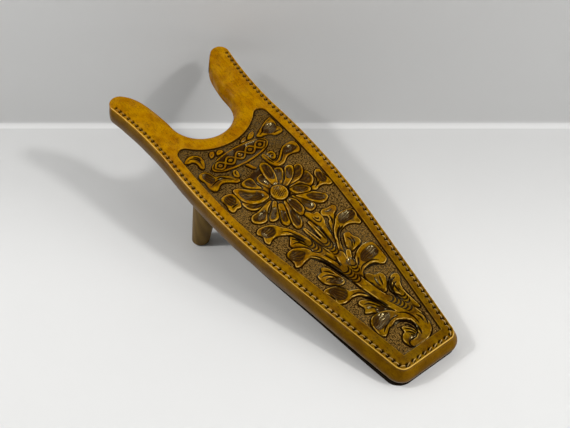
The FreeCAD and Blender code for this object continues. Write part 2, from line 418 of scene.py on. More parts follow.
STATIONS_PER_STITCH = 14
LOOSE_STATION = 0.8
WALL_COLUMNS = 8
ROUND_COLUMNS = 8
EDGE_COLUMNS = 14
FIELD_COLUMNS = 8
TURNED_EDGE = 0.5
PANEL_LIP = 0.35
STAIN_REACH = 2.5
STAIN_DEPTH = 0.4
HOLE_PUCKER = 0.12
EDGE_WEAR_AND_HIGHLIGHT = 0.26
WEAR_AND_HIGHLIGHT_FADE = 10
WALL_DENT = 0.15
PAINTED_WALL_SHADE = 0.2
PAINTED_UNDER_SHADE = 0.36
BORDER_DEEPENING = 0.24
DEEPENED_TO = 140
DEEPENED_FADE = 60


def cover_stations():
    """Outline distances of the top leather's cross-sections, twice the same at the seam."""
    sewn = stitch_line.outline_distance(np.linspace(0, 1, stitch_line.stitches * STATIONS_PER_STITCH + 1))
    count = int((outline.length - sewn[-1]) / LOOSE_STATION) + 2
    distance = np.concatenate([sewn, np.linspace(sewn[-1], outline.length, count)[1:]])
    row = int(np.searchsorted(distance, outline.seam))
    return np.insert(distance, row, distance[row]), row


def near_toe(distance):
    """1 round the toe, falling to 0 along the sides."""
    return 1 - ease((distance - outline.side_start) / TOE_FADE)


def rolled(distance):
    """0 up to the prong's tip, rising to 1 along the notch, whose edge is fully rounded."""
    return ease((distance - outline.tip_end) / ROLL_FADE)


def edge_radius(distance):
    """Radius of the top edge: softer round the toe, small along the sides, large along the notch."""
    return (EDGE_ROUNDING + (TOE_ROUNDING - EDGE_ROUNDING) * near_toe(distance)
            + (ROLL_RADIUS - EDGE_ROUNDING) * rolled(distance))


def inner_ends(distance):
    """Where the leather that starts at each station ends: at the panel, or in the middle of the prong."""
    spots = outline.point(distance) + outline.normal(distance) * PANEL_BORDER
    on_toe = distance <= outline.side_start
    spots = np.where(on_toe & (spots.real > panel_edge.corner.real), panel_edge.corner, spots)
    spots = np.where(~on_toe & (spots.imag < panel_edge.corner.imag), panel_edge.corner, spots)
    prong = line(panel_edge.horn, outline.tip)
    outer = joined([panel_edge.side[len(panel_edge.lower_side) - 1:], prong])
    share = (distance - panel_edge.side_end) / (outline.tip_start - panel_edge.side_end)
    spots = np.where(share > 0, at_length(outer, np.clip(share, 0, 1) * lengths(outer)[-1]), spots)
    inner = joined([prong[::-1], panel_edge.top])
    knots = (outline.tip_end, outline.flank_start, outline.length)
    inner_knots = (0, lengths(prong)[-1], lengths(inner)[-1])
    along_notch = at_length(inner, np.interp(distance, knots, inner_knots))
    return np.where(distance > outline.tip_end, along_notch, spots)


def leather_swell(spots):
    """Faint unevenness of the plain leather."""
    return 0.05 * wander(spots, 9.0, 3) + 0.02 * wander(spots, 3.1, 4)


def deepened(spots):
    """How much deeper the dye sits in the lower half of the border."""
    return BORDER_DEEPENING * (1 - ease((spots.imag - DEEPENED_TO) / DEEPENED_FADE))


def make_plain_leather():
    """Top leather round the panel, its notch edge rolled down the wall, as one closed piece."""
    distance, seam_row = cover_stations()
    edge, inward, inner = outline.point(distance), outline.normal(distance), inner_ends(distance)
    turned_down = np.arange(len(distance)) > seam_row
    radius = edge_radius(distance)
    bottom = np.where(turned_down, BOARD_BOTTOM, -LEATHER)
    sewn = distance <= stitch_line.outline_run[-1] + 1e-6
    from_hole = np.abs((stitch_line.count_at(distance) + 0.5) % 1 - 0.5) * STITCH_PITCH
    strip_end = np.maximum(EDGE_STRIP, radius + 0.5)
    strip_start = edge + inward * strip_end
    field = inner - strip_start
    at_panel = (distance <= panel_edge.side_end) | (distance >= outline.flank_start)
    sections = Sections()

    def add_lip(out, drop, tone):
        """Column of the small lip that the leather has where it meets the panel."""
        sections.add(inner + out, np.where(at_panel, drop, 0), np.where(at_panel, tone, PLAIN_TONE))

    sections.add(inner, -LEATHER, RAW_TONE)
    outward = -field / np.abs(field) * PANEL_LIP
    # The lip is dark at its foot and a little pale on its rounded top, a painted highlight with wear.
    add_lip(0, -PANEL_LIP, RAW_TONE)
    add_lip(outward * 0.3, -0.3 * PANEL_LIP, 0.85)
    add_lip(outward, 0, 0.9)
    for share in np.linspace(1, 0, FIELD_COLUMNS + 1)[1:-1]:
        spots = strip_start + field * share
        patchy = 0.5 + 0.5 * wander(spots, 3.0, 6)
        stained = at_panel * np.exp(-np.abs(field) * (1 - share) / STAIN_REACH) * patchy
        sections.add(spots, leather_swell(spots), PLAIN_TONE - deepened(spots) - STAIN_DEPTH * stained)
    for share in np.linspace(1, 0, EDGE_COLUMNS + 1):
        inset = radius + (strip_end - radius) * share
        spots = edge + inward * inset
        from_line = inset - STITCH_INSET
        groove = np.clip(1 - (from_line / GROOVE_HALF_WIDTH) ** 2, 0, 1) ** 1.5
        away = np.hypot(from_hole, from_line)
        hole = 1 - ease((away - 0.6 * HOLE_RADIUS) / (0.55 * HOLE_RADIUS))
        pucker = HOLE_PUCKER * hump(away - HOLE_RADIUS, 0.7, 0.5)
        height = leather_swell(spots) * ease(inset - radius)
        height = height + sewn * (pucker - GROOVE_DEPTH * groove - HOLE_DEPTH * hole)
        tone = PLAIN_TONE - share * deepened(spots) + sewn * (0.7 * pucker - 0.1 * groove)
        # The stitch holes are painted near black through the cut value: painted shade inside the holes.
        sections.add(spots, height, tone, sewn * hole)
    # Pale line on the rounded top edge, fading at the prong tips: wear with a painted highlight.
    for turn in np.linspace(math.pi / 2, 0, ROUND_COLUMNS + 1)[1:]:
        wear_and_highlight = EDGE_WEAR_AND_HIGHLIGHT * math.sin(2 * turn) ** 4 * (1 - ease((distance - outline.tip_start) / WEAR_AND_HIGHLIGHT_FADE))
        spots = edge + inward * radius * (1 - math.cos(turn))
        sections.add(spots, -radius * (1 - math.sin(turn)), PLAIN_TONE + wear_and_highlight)
    under = np.where(turned_down, TURNED_EDGE + (UNDER_ROLL_RADIUS - TURNED_EDGE) * rolled(distance), 0)
    wall_bottom = np.minimum(bottom + under, -radius)
    # Down the rolled notch wall and round under it the tone darkens: painted shade.
    for share in np.linspace(0, 1, WALL_COLUMNS + 1)[1:]:
        uneven = WALL_DENT + WALL_DENT * wander(edge + share * 9j, 7.0, 11)
        dent = turned_down * uneven * math.sin(share * math.pi)
        height = (wall_bottom + radius) * share - radius
        sections.add(edge + inward * dent, height, PLAIN_TONE - PAINTED_WALL_SHADE * turned_down * share)
    for turn in np.linspace(0, math.pi / 2, ROUND_COLUMNS + 1)[1:]:
        spots = edge + inward * under * (1 - math.cos(turn))
        tone = PLAIN_TONE - turned_down * (PAINTED_WALL_SHADE + PAINTED_UNDER_SHADE * turn)
        sections.add(spots, bottom + under * (1 - math.sin(turn)), tone)
    lining = np.maximum(under - LEATHER, 0)
    for turn in (0, math.pi / 4, math.pi / 2):
        inset = np.maximum(under, LEATHER) - lining * math.sin(turn)
        sections.add(edge + inward * inset, bottom + under - lining * math.cos(turn), RAW_TONE)
    inside_roll = -LEATHER - np.maximum(radius - LEATHER, 0) * turned_down
    sections.add(edge + inward * LEATHER, inside_roll, RAW_TONE)
    sections.add(edge + inward * np.maximum(radius, LEATHER), -LEATHER, RAW_TONE)
    points, dyes_and_painted_light = sections.both_sides()
    rows, columns = points.shape[:2]
    return mesh_object("plain_leather", points, grid_faces(rows, columns, True, True), dyes_and_painted_light)


def band_bottom(distance):
    """Height of the band's lower edge, which leaves the sole's edge bare round the toe."""
    return BOARD_BOTTOM + TOE_LIFT * near_toe(distance)


# The band's upper edge, tucked under the top leather: inset, height and tone
BAND_TOP = -LEATHER - 0.9
BAND_FOLD = [(LEATHER - 0.1, -LEATHER, 0.3), (0.35, -LEATHER, 0.3), (0.12, -LEATHER - 0.06, 0.6),
             (0.03, -LEATHER - 0.25, 0.85), (0.0, BAND_TOP, 1.0)]
BAND_SEAM_GAP = 0.4
BAND_ROWS = 10
BAND_ROUND_ROWS = 12


def make_band():
    """Strip of leather round the sides, the toe and the prong tips, from seam to seam."""
    count = int(outline.seam / LOOSE_STATION)
    distance = np.linspace(0, outline.seam - BAND_SEAM_GAP, count)
    edge, inward = outline.point(distance), outline.normal(distance)
    sections = Sections()
    for inset, height, tone in BAND_FOLD:
        sections.add(edge + inward * inset, height, tone)
    bulge = TOE_BULGE + (SIDE_BULGE - TOE_BULGE) * ease((distance - outline.side_start) / BULGE_FADE)
    bottom = band_bottom(distance)
    low = bottom + BAND_ROUNDING

    def swell(height):
        share = np.clip((BAND_TOP - height) / (BAND_TOP - bottom), 0, 1)
        return bulge * np.sin(math.pi * share ** 1.4) ** 0.8 - 0.1 * wander(edge + height * 1j, 8.0, 5)

    # The band's tone falls down its side and round its lower edge, where its finish turns it near black:
    # painted shade.
    for share in np.linspace(0, 1, BAND_ROWS + 1)[1:]:
        height = BAND_TOP + (low - BAND_TOP) * share
        sections.add(edge - inward * swell(height), height, 1 - 0.5 * share)
    for turn in np.linspace(0, math.pi / 2, BAND_ROUND_ROWS + 1)[1:]:
        height = low - BAND_ROUNDING * math.sin(turn)
        spots = edge + inward * (BAND_ROUNDING * (1 - math.cos(turn)) - swell(height))
        sections.add(spots, height, 0.5 - 0.3 * turn)
    sections.add(edge + inward * (BAND_ROUNDING + 0.2), bottom, RAW_TONE)
    points, dyes_and_painted_light = sections.both_sides()
    rows, columns = points.shape[:2]
    faces = grid_faces(rows, columns, False, True)
    seam_row = rows // 2
    faces = [face for face in faces if not min(face) < seam_row * columns <= max(face)]
    faces += [tuple(row * columns + column for column in range(columns)) for row in (seam_row - 1, seam_row)]
    return mesh_object("edge_band", points, faces, dyes_and_painted_light)


# ---- Board and sole -----------------------------------------------------------------------------

LOOP_POINTS = 900


def stacked_loops(name, levels):
    """Closed piece from outline loops, given as insets and heights, capped at both ends."""
    distance = np.linspace(0, outline.length, LOOP_POINTS)
    edge, inward = outline.point(distance), outline.normal(distance)
    loops = []
    for inset, height in levels(distance):
        half = from_board(edge + inward * inset, np.broadcast_to(height, distance.shape))
        loops.append(np.concatenate([half, half[-2:0:-1] * (-1, 1, 1)]))
    count = len(loops[0])
    faces = grid_faces(len(loops), count, False, True)
    faces += [tuple(range(count)), tuple((len(loops) - 1) * count + number for number in range(count))]
    return mesh_object(name, np.concatenate(loops), faces)


QUARTER_TURN = [math.radians(turn) for turn in (0, 22.5, 45, 67.5, 90)]


def board_levels(distance):
    """The wooden board just inside its leathers, with the same rounded notch edge."""
    top, under = edge_radius(distance) * rolled(distance), UNDER_ROLL_RADIUS * rolled(distance)
    bottom = BOARD_BOTTOM + LEATHER * rolled(distance)
    edges = ((top, -LEATHER, -1, QUARTER_TURN), (under, bottom, 1, QUARTER_TURN[::-1]))
    for radius, level, way, turns in edges:
        inside = np.maximum(radius - LEATHER, 0)
        for turn in turns:
            inset = np.maximum(radius, LEATHER) - inside * math.sin(turn)
            yield inset, level + way * inside * (1 - math.cos(turn))
    yield np.maximum(under, LEATHER), BOARD_BOTTOM


def sole_levels(distance):
    """The sole: a ledge under the toe, level with the sides, set in at the prongs and the notch."""
    along_side = distance - outline.side_start
    inset = TOE_SOLE_INSET + (SIDE_SOLE_INSET - TOE_SOLE_INSET) * ease(along_side / BULGE_FADE)
    inset = inset + (SOLE_INSET - SIDE_SOLE_INSET) * ease((along_side - SOLE_STEP_START) / SOLE_STEP_FADE)
    inset = inset + (UNDER_ROLL_RADIUS + 0.5 - SOLE_INSET) * rolled(distance)
    covered = np.maximum(inset, LEATHER) + SOLE_GAP
    yield covered, BOARD_BOTTOM
    yield covered, band_bottom(distance)
    yield inset, band_bottom(distance)
    yield inset, BOARD_BOTTOM - SOLE + SOLE_CHAMFER
    yield inset + SOLE_CHAMFER, BOARD_BOTTOM - SOLE


def make_sole():
    """Flat sole under the board, worn level where its toe rests on the floor."""
    sole = stacked_loops("sole", sole_levels)
    draft = bmesh.new()
    draft.from_mesh(sole.data)
    parts = draft.verts[:] + draft.edges[:] + draft.faces[:]
    bmesh.ops.bisect_plane(draft, geom=parts, plane_co=(0, 0, 0), plane_no=(0, 0, 1), clear_inner=True)
    bmesh.ops.holes_fill(draft, edges=[edge for edge in draft.edges if edge.is_boundary])
    draft.to_mesh(sole.data)
    draft.free()
    tidy_mesh(sole.data)
    return sole


# ---- Carving ------------------------------------------------------------------------------------

# Grid of the panel's points
PANEL_MARGIN = 0.25
PANEL_ROWS = 780
PANEL_COLUMNS = 264
PANEL_PARTS = 3
PATH_STEPS = 6
RING_POINTS = 24

# Ground, and the edges of what stands above it
GROUND_LEVEL = -1.1
BEVEL_LEVEL = -1.7
BEVEL_WIDTH = 2.0
RIM_ROUNDING = 0.5
RIM_SOFTNESS = 0.5
MATTED_FROM = 0.5
MATTED_FADE = 1.2
WEAR_AND_HIGHLIGHT_PLACE = -0.35
WEAR_AND_HIGHLIGHT_SPREAD = 0.3
LINE_PLACE = 0.45
LINE_SPREAD = 0.5

# Hollows with their ribs
HOLLOW_DEPTH = 1.4
HOLLOW_SLOPE = 1.3
HOLLOW_GROWTH = 1.2
HOLLOW_SHADE = 0.80
PETAL_GROWTH = 1.0
PETAL_BEVEL = 1.4
RIB_FAN = 55
RIB_REACH = 18.0
RIB_HEIGHT = 0.22
RIB_SHADE = 0.36
RIB_WANDER = 2.2

# Cuts, channels and beads
CUT_HALF_WIDTH = 0.95
CUT_DEPTH = 0.6
CUT_TAPER = 0.6
BAND_DEPTH = 0.45
CRESCENT_PITCH = 2.9
CRESCENT_DEPTH = 0.3
SPOON_LEVEL = -0.75
BEAD_PITCH = 1.25
BEAD_HEIGHT = 0.35
BEAD_RADIUS = 0.58

# Where the panel begins to be darker towards the notch
AGED_FROM = 188
AGED_FADE = 16


def smooth(points, closed=True):
    """Smooth path through points. A point that is given twice in a row is a sharp corner."""
    knots = [complex(*point) for point in points]
    count = len(knots)
    knots = [knots[-1]] + knots + knots[:2] if closed else [knots[0]] + knots + [knots[-1]]
    path = []
    for before, start, end, after in zip(knots, knots[1:], knots[2:], knots[3:]):
        if start == end:
            continue
        share = np.arange(PATH_STEPS) / PATH_STEPS
        leave, arrive = (end - before) / 2, (after - start) / 2
        path.append(start + share * leave + share ** 2 * (3 * (end - start) - 2 * leave - arrive)
                    + share ** 3 * (2 * (start - end) + leave + arrive))
    if closed:
        return np.concatenate(path + [path[0][:1]])
    return np.concatenate(path + [[knots[count]]])


def is_inside(spots, loop):
    """Which spots lie inside a closed loop."""
    result = np.zeros(spots.shape, bool)
    for start, end in zip(loop, loop[1:]):
        if start.imag == end.imag:
            continue
        crosses = (start.imag > spots.imag) != (end.imag > spots.imag)
        share = (spots.imag - start.imag) / (end.imag - start.imag)
        result ^= crosses & (spots.real < start.real + share * (end.real - start.real))
    return result


def loop_depth(spots, points):
    """Distance to a smooth closed outline, negative inside it."""
    loop = smooth(points)
    distance = distance_to(spots, loop)
    return np.where(is_inside(spots, loop), -distance, distance)


def stem_depth(spots, points):
    """Distance to a tapered stem, negative inside it. Its points are across, along and half width."""
    path = smooth([point[:2] for point in points], closed=False)
    along = np.linspace(0, len(points) - 1, len(path))
    widths = np.interp(along, range(len(points)), [point[2] for point in points])
    best = np.full(spots.shape, np.inf)
    for start, end, width in zip(path, path[1:], widths):
        best = np.minimum(best, distance_to(spots, [start, end]) - width)
    return best


class Carving:
    """Relief of the tooled panel over a grid of spots.

    Its tone is 0 where the dye is darkest, PLAIN_TONE on plain leather and 1 on worn edges, which also carry
    a painted highlight.
    """

    def __init__(self, spots):
        self.spots = spots
        self.height = GROUND_LEVEL + 0.06 * wander(spots, 5.0, 21)
        self.tone = np.zeros(spots.shape)
        self.matted = np.ones(spots.shape)
        self.cut = np.zeros(spots.shape)
        self.patches = 0.5 + 0.3 * wander(spots, 3.6, 22) + 0.2 * wander(spots, 1.7, 23)

    def around(self, points, margin=3.5):
        """Where the grid lies near the given points."""
        across, along = [point[0] for point in points], [point[1] for point in points]
        spots = self.spots
        return ((spots.real > min(across) - margin) & (spots.real < max(across) + margin)
                & (spots.imag > min(along) - margin) & (spots.imag < max(along) + margin))

    def motif(self, outlines=(), stems=(), hollows=(), cuts=(), bevel=BEVEL_WIDTH, ribs=None,
              growth=HOLLOW_GROWTH):
        """Keeps the outlines and stems standing, bevels the leather beside them and carves into them."""
        near = self.around([point for shape in (*outlines, *stems) for point in shape], bevel + 5.0)
        spots = self.spots[near]
        depth = np.full(spots.shape, np.inf)
        for outline_points in outlines:
            depth = np.minimum(depth, loop_depth(spots, outline_points))
        for stem_points in stems:
            depth = np.minimum(depth, stem_depth(spots, stem_points))
        height, tone, matted, cut = self.height[near], self.tone[near], self.matted[near], self.cut[near]
        standing, patches = depth <= 0, self.patches[near]
        fall = 1 - np.clip(depth / bevel, 0, 1)
        height = np.minimum(height, height + (BEVEL_LEVEL - height) * fall ** 1.5)
        self.height[near] = np.where(standing, -RIM_ROUNDING * np.exp(depth / RIM_SOFTNESS), height)
        self.matted[near] = np.where(standing, 0, matted * ease((depth - MATTED_FROM) / MATTED_FADE))
        # Rims of standing shapes are paler in patches: wear with a painted highlight.
        wear_and_highlight = hump(depth, WEAR_AND_HIGHLIGHT_PLACE, WEAR_AND_HIGHLIGHT_SPREAD) * 1.7 * ease((patches - 0.2) / 0.5)
        stained = ease((-0.5 - depth) / 1.0) * ease((patches - 0.25) / 0.5)
        inside = PLAIN_TONE - 0.5 * stained + 0.2 * wear_and_highlight
        self.tone[near] = np.where(standing, inside, tone * ease(depth / (1.6 * bevel)))
        line_mark = hump(depth, LINE_PLACE, LINE_SPREAD)
        self.cut[near] = np.where(standing, 0.7 * line_mark, np.maximum(cut, line_mark))
        for hollow in hollows:
            self.hollow(hollow, ribs, growth)
        for path in cuts:
            self.knife(path)

    def hollow(self, points, ribs, growth):
        """Pressed hollow with a soft wall and uneven ribs, fanned from a spot or set along its edge."""
        near = self.around(points, growth + 1)
        spots = self.spots[near]
        depth = growth - loop_depth(spots, points)
        share = 1 - np.exp(-np.maximum(depth, 0) / HOLLOW_SLOPE)
        if ribs is None:
            loop = np.array([complex(*point) for point in points])
            ribs = loop.mean() - RIB_REACH * unit(((loop - loop.mean()) ** 2).mean() ** 0.5)
        phase = np.cos(np.angle(spots - ribs) * RIB_FAN + RIB_WANDER * wander(spots, 3.4, 24))
        self.height[near] -= share * (HOLLOW_DEPTH - RIB_HEIGHT * phase)
        self.tone[near] *= 1 - ease(depth) * (HOLLOW_SHADE - RIB_SHADE * phase * self.patches[near])
        self.cut[near] = np.maximum(self.cut[near], 0.75 * hump(depth, LINE_PLACE, LINE_SPREAD))

    def spoon(self, points):
        """Smooth pressed channel, a little darker than the plain leather."""
        near = self.around(points, 5.0)
        inside = ease(0.5 - stem_depth(self.spots[near], points))
        self.height[near] += (SPOON_LEVEL - self.height[near]) * inside
        self.tone[near] += (0.4 * self.patches[near] + 0.22 - self.tone[near]) * inside
        self.matted[near] *= 1 - inside
        self.cut[near] *= 1 - inside

    def knife(self, points, half_width=CUT_HALF_WIDTH, depth=CUT_DEPTH):
        """Tapered knife cut along a smooth path."""
        near = self.around(points, 1.2)
        spots = self.spots[near]
        path = smooth(points, closed=False)
        mark = np.full(spots.shape, -1.0)
        for number, (start, end) in enumerate(zip(path, path[1:])):
            taper = math.sin(math.pi * (number + 0.5) / (len(path) - 1)) ** CUT_TAPER
            mark = np.maximum(mark, 1 - distance_to(spots, [start, end]) / (half_width * taper))
        # A painted highlight along the edge of each cut.
        self.tone[near] += 0.16 * hump(mark, -0.3, 0.25) * (1 - self.matted[near])
        mark = np.maximum(mark, 0)
        self.height[near] -= depth * mark
        self.matted[near] *= 1 - ease(mark * 3)
        self.cut[near] = np.maximum(self.cut[near], ease(mark * 2.2))


# Leaves and stems left standing, those that lie behind first, with what is carved into them. Points are
# across and along the board, and a stem's points have half its width as well.
LEAVES = [
    # Top corners and both sides of the cartouche
    dict(outlines=[[(-42, 235.5), (-40, 237.2), (-37, 238.4), (-33.5, 238), (-30.5, 236), (-28.6, 233),
          (-28.6, 229), (-30.4, 225.4), (-33, 222.6), (-34.8, 224.4), (-34.6, 228), (-35, 231), (-37, 233),
          (-40, 233.4)]],
         cuts=[[(-38.5, 236), (-34.5, 235), (-32, 231.5), (-32.4, 226.5)], [(-33.5, 236.5), (-31, 233.5),
          (-30.8, 230)]]),
    dict(outlines=[[(-22.5, 228), (-22, 231), (-19.8, 233), (-17.4, 232), (-18.2, 229.6), (-20.4, 228)]]),
    dict(outlines=[[(-16.5, 227.6), (-15.6, 230.2), (-13.4, 231.2), (-11, 229.6), (-11.4, 227.6)]]),
    dict(outlines=[[(5.5, 227), (8, 229.4), (11.4, 230.2), (12.6, 228.4), (9, 226.2)]]),
    dict(outlines=[[(12.2, 227), (15, 230), (18, 231.4), (20.6, 231.2), (19.4, 228.4), (16, 226.4)]]),
    dict(outlines=[[(20, 226), (23.5, 227.8), (27.5, 230.4), (32, 232.8), (36.5, 234.6), (41, 235.4),
          (41, 235.4), (41.4, 231), (40.4, 227), (39.8, 224.4), (41.6, 221.4), (40.4, 218.4), (36.5, 217.8),
          (32.6, 218.4), (30, 221.2), (26, 222.8), (22, 223.4)]],
         hollows=[[(27, 225.6), (30, 228.4), (34, 229.6), (38.2, 228.4), (38.6, 225.4), (36, 222.8),
          (31.5, 222.2)]],
         cuts=[[(22.5, 225), (26, 226.4), (29, 229.4), (33.5, 231.6)], [(33, 220.2), (36.5, 220.6),
          (39.4, 220)]]),
    dict(outlines=[[(-40.8, 218.8), (-38, 220.2), (-34.6, 219.2), (-32.6, 216.4), (-31.6, 213),
          (-30.6, 210.4), (-27.6, 209.6), (-24, 207.4), (-20.8, 204.6), (-17.6, 200.6), (-17, 197.4),
          (-20.4, 197.4), (-23.4, 199.8), (-26.6, 202), (-30, 203), (-33, 202.2), (-35.2, 200.4),
          (-38, 199.6), (-40.2, 202), (-41, 206.4), (-40.2, 211), (-41.4, 215)]],
         hollows=[[(-38.2, 215.8), (-35.4, 217), (-33.4, 214), (-33, 210.6), (-34.4, 208.2), (-37, 208.8),
          (-38.2, 212)]],
         cuts=[[(-39, 204.6), (-34, 206.4), (-29, 206.8), (-24.4, 204.4), (-20, 199.6)], [(-31.6, 208.6),
          (-28, 208.4), (-24, 206)]]),
    dict(outlines=[[(-18, 202.4), (-17.6, 206.2), (-15.4, 208.2), (-13.4, 206.4), (-14, 202.6),
          (-15.8, 200.8)]],
         cuts=[[(-16.6, 203), (-15.8, 205.6), (-14.6, 206.6)]]),
    dict(outlines=[[(-4.6, 207.8), (-2, 206.8), (-0.4, 203.6), (0.8, 200), (-1.6, 200.8), (-3.2, 204)]]),
    dict(outlines=[[(14.6, 206), (17.4, 207.6), (20.6, 206.4), (21, 202.6), (18.4, 199.6), (15.6, 201)]],
         cuts=[[(16.2, 204), (18, 205.4), (19.4, 203.6)], [(17.4, 202.2), (18.4, 203)]]),
    dict(outlines=[[(10.8, 207), (13, 208.2), (14.6, 205), (14.8, 200.6), (16, 197), (20, 197.6),
          (23.4, 200.2), (27, 203.4), (31.5, 205.8), (36.5, 206.4), (40.5, 205.2), (41.8, 201.6),
          (40.6, 196.8), (38, 194.6), (34.2, 195.6), (30, 196.2), (26, 195), (22, 192.2), (17.6, 191.6),
          (14.4, 193), (12.2, 197), (11.2, 202)]],
         hollows=[[(26.6, 199.4), (30, 202.8), (34, 203.6), (37.2, 201.6), (37.6, 198.6), (34, 197.8),
          (30, 198)]],
         cuts=[[(16.6, 194.6), (20.4, 195.2), (24, 198), (27.4, 201.6)], [(13, 204.6), (13.4, 200),
          (14.6, 196.2)]]),
    dict(outlines=[[(-40, 191), (-35, 192.4), (-30, 190.6), (-28.8, 185), (-29.6, 180.2), (-31.8, 176.8),
          (-35, 177.2), (-38.8, 176), (-40.6, 179), (-39.6, 184.6)]],
         hollows=[[(-38.2, 188.2), (-35, 189.6), (-32, 187.6), (-32.2, 183.6), (-35.4, 182.2), (-38, 184)]],
         cuts=[[(-38, 179.4), (-35, 180.2), (-32, 180.2)]]),
    dict(outlines=[[(29, 160), (32.6, 165), (33.6, 169.6), (37, 172.6), (40, 171), (39.6, 166), (41, 160.6),
          (40.4, 156), (37, 155.2), (34, 157.6), (30, 158.4), (25.4, 157.2), (22.6, 159.6), (25.4, 161.6)]],
         hollows=[[(35, 168.4), (38, 167.6), (38.6, 162.6), (36, 160), (33.6, 162)]],
         cuts=[[(26, 159.6), (30, 160.6), (32.6, 162.6)]]),
    # Leaflets that grow behind the stems
    dict(outlines=[[(-23.4, 127), (-20.6, 131.4), (-17.4, 134.8), (-13.4, 131), (-11, 125), (-9.6, 118),
          (-9.4, 111), (-13, 113), (-16.6, 118), (-20.6, 122.6)]],
         cuts=[[(-21.6, 127.4), (-17.4, 126.4), (-13.8, 121.4), (-11.8, 115.4)], [(-19.4, 131),
          (-15.6, 128.8), (-12.4, 123), (-11, 118)], [(-17.2, 133.4), (-13.8, 130), (-11.6, 124.6)]]),
    dict(outlines=[[(-23.8, 95), (-19.4, 96), (-17, 99.4), (-13, 95.4), (-11.2, 90), (-10, 84),
          (-11.4, 79.6), (-15.6, 80), (-18.4, 82.4), (-22, 85), (-24, 89)]],
         hollows=[[(-19, 85.4), (-16, 87), (-12.8, 86), (-12, 82), (-15, 81.6)]],
         cuts=[[(-22.4, 92.4), (-18, 91.8), (-14.4, 88.6), (-12.4, 84.4)], [(-18, 96), (-15, 93),
          (-12.8, 89)], [(-21.4, 88.8), (-18.4, 88.6), (-15.6, 86.6)]]),
    dict(outlines=[[(10.4, 103), (13.2, 109), (16, 113.2), (20, 112.2), (20.4, 108), (22.6, 103),
          (20.8, 99.6), (16, 98.6), (11, 98)]],
         cuts=[[(15.6, 109.6), (16.4, 105), (13.6, 100.6)], [(18.4, 108.6), (18, 104), (15.8, 100.6)]]),
    dict(outlines=[[(4.6, 76.4), (8, 75.6), (10.6, 72.4), (15.2, 71.2), (16.4, 67), (14, 62.4), (11, 59.4),
          (8.6, 56.6), (5.4, 57.8), (4.2, 62), (5.4, 67), (3.6, 71)]],
         cuts=[[(9, 71), (7.8, 66.4), (7.6, 61.4)], [(12.8, 69.4), (11.2, 65.6), (9.8, 61.8)]]),
    dict(outlines=[[(-16, 51.4), (-13.6, 54.6), (-14.8, 59.6), (-12.6, 61.4), (-8, 59.4), (-4.2, 54.8),
          (-1.2, 49), (0.8, 43), (-3, 42.4), (-7, 45), (-10.4, 48.4), (-13, 49.4)]],
         hollows=[[(-7.6, 48.6), (-4.4, 49.6), (-1.8, 46.4), (-1.4, 43.8), (-4.6, 44.6)]],
         cuts=[[(-12.4, 57), (-9, 56), (-6, 52.4), (-3.8, 49)], [(-12.6, 53.4), (-9.6, 52.4), (-7, 49.4)]]),
    dict(outlines=[[(11.4, 54.8), (13.8, 60), (18, 63.6), (22.4, 65), (25.2, 62.8), (24.2, 59),
          (20.8, 54.6), (19.4, 48), (19.8, 40), (20.4, 33), (16.6, 35), (15.4, 42), (15, 48), (13.2, 51.4)]],
         cuts=[[(14.8, 58.4), (18, 61.4), (21.6, 62)], [(13.6, 55), (16.4, 57.6), (19.8, 58.4)],
          [(17.4, 54), (17.2, 47), (17.6, 40)]]),
    dict(outlines=[[(-8, 14), (-8.6, 19), (-6, 22.4), (-3.4, 23.6), (-2.8, 27.4), (-0.4, 26.8), (2.4, 23.6),
          (4.2, 19), (5.4, 14), (2, 11.4), (-3, 10.6), (-6.4, 11.4)]],
         cuts=[[(-1.6, 25.6), (1.6, 22.4), (3, 18)], [(-2.8, 22.8), (0.2, 20.6), (1.4, 17)], [(-1.2, 19.4),
          (0, 17), (-0.2, 15)]]),
]


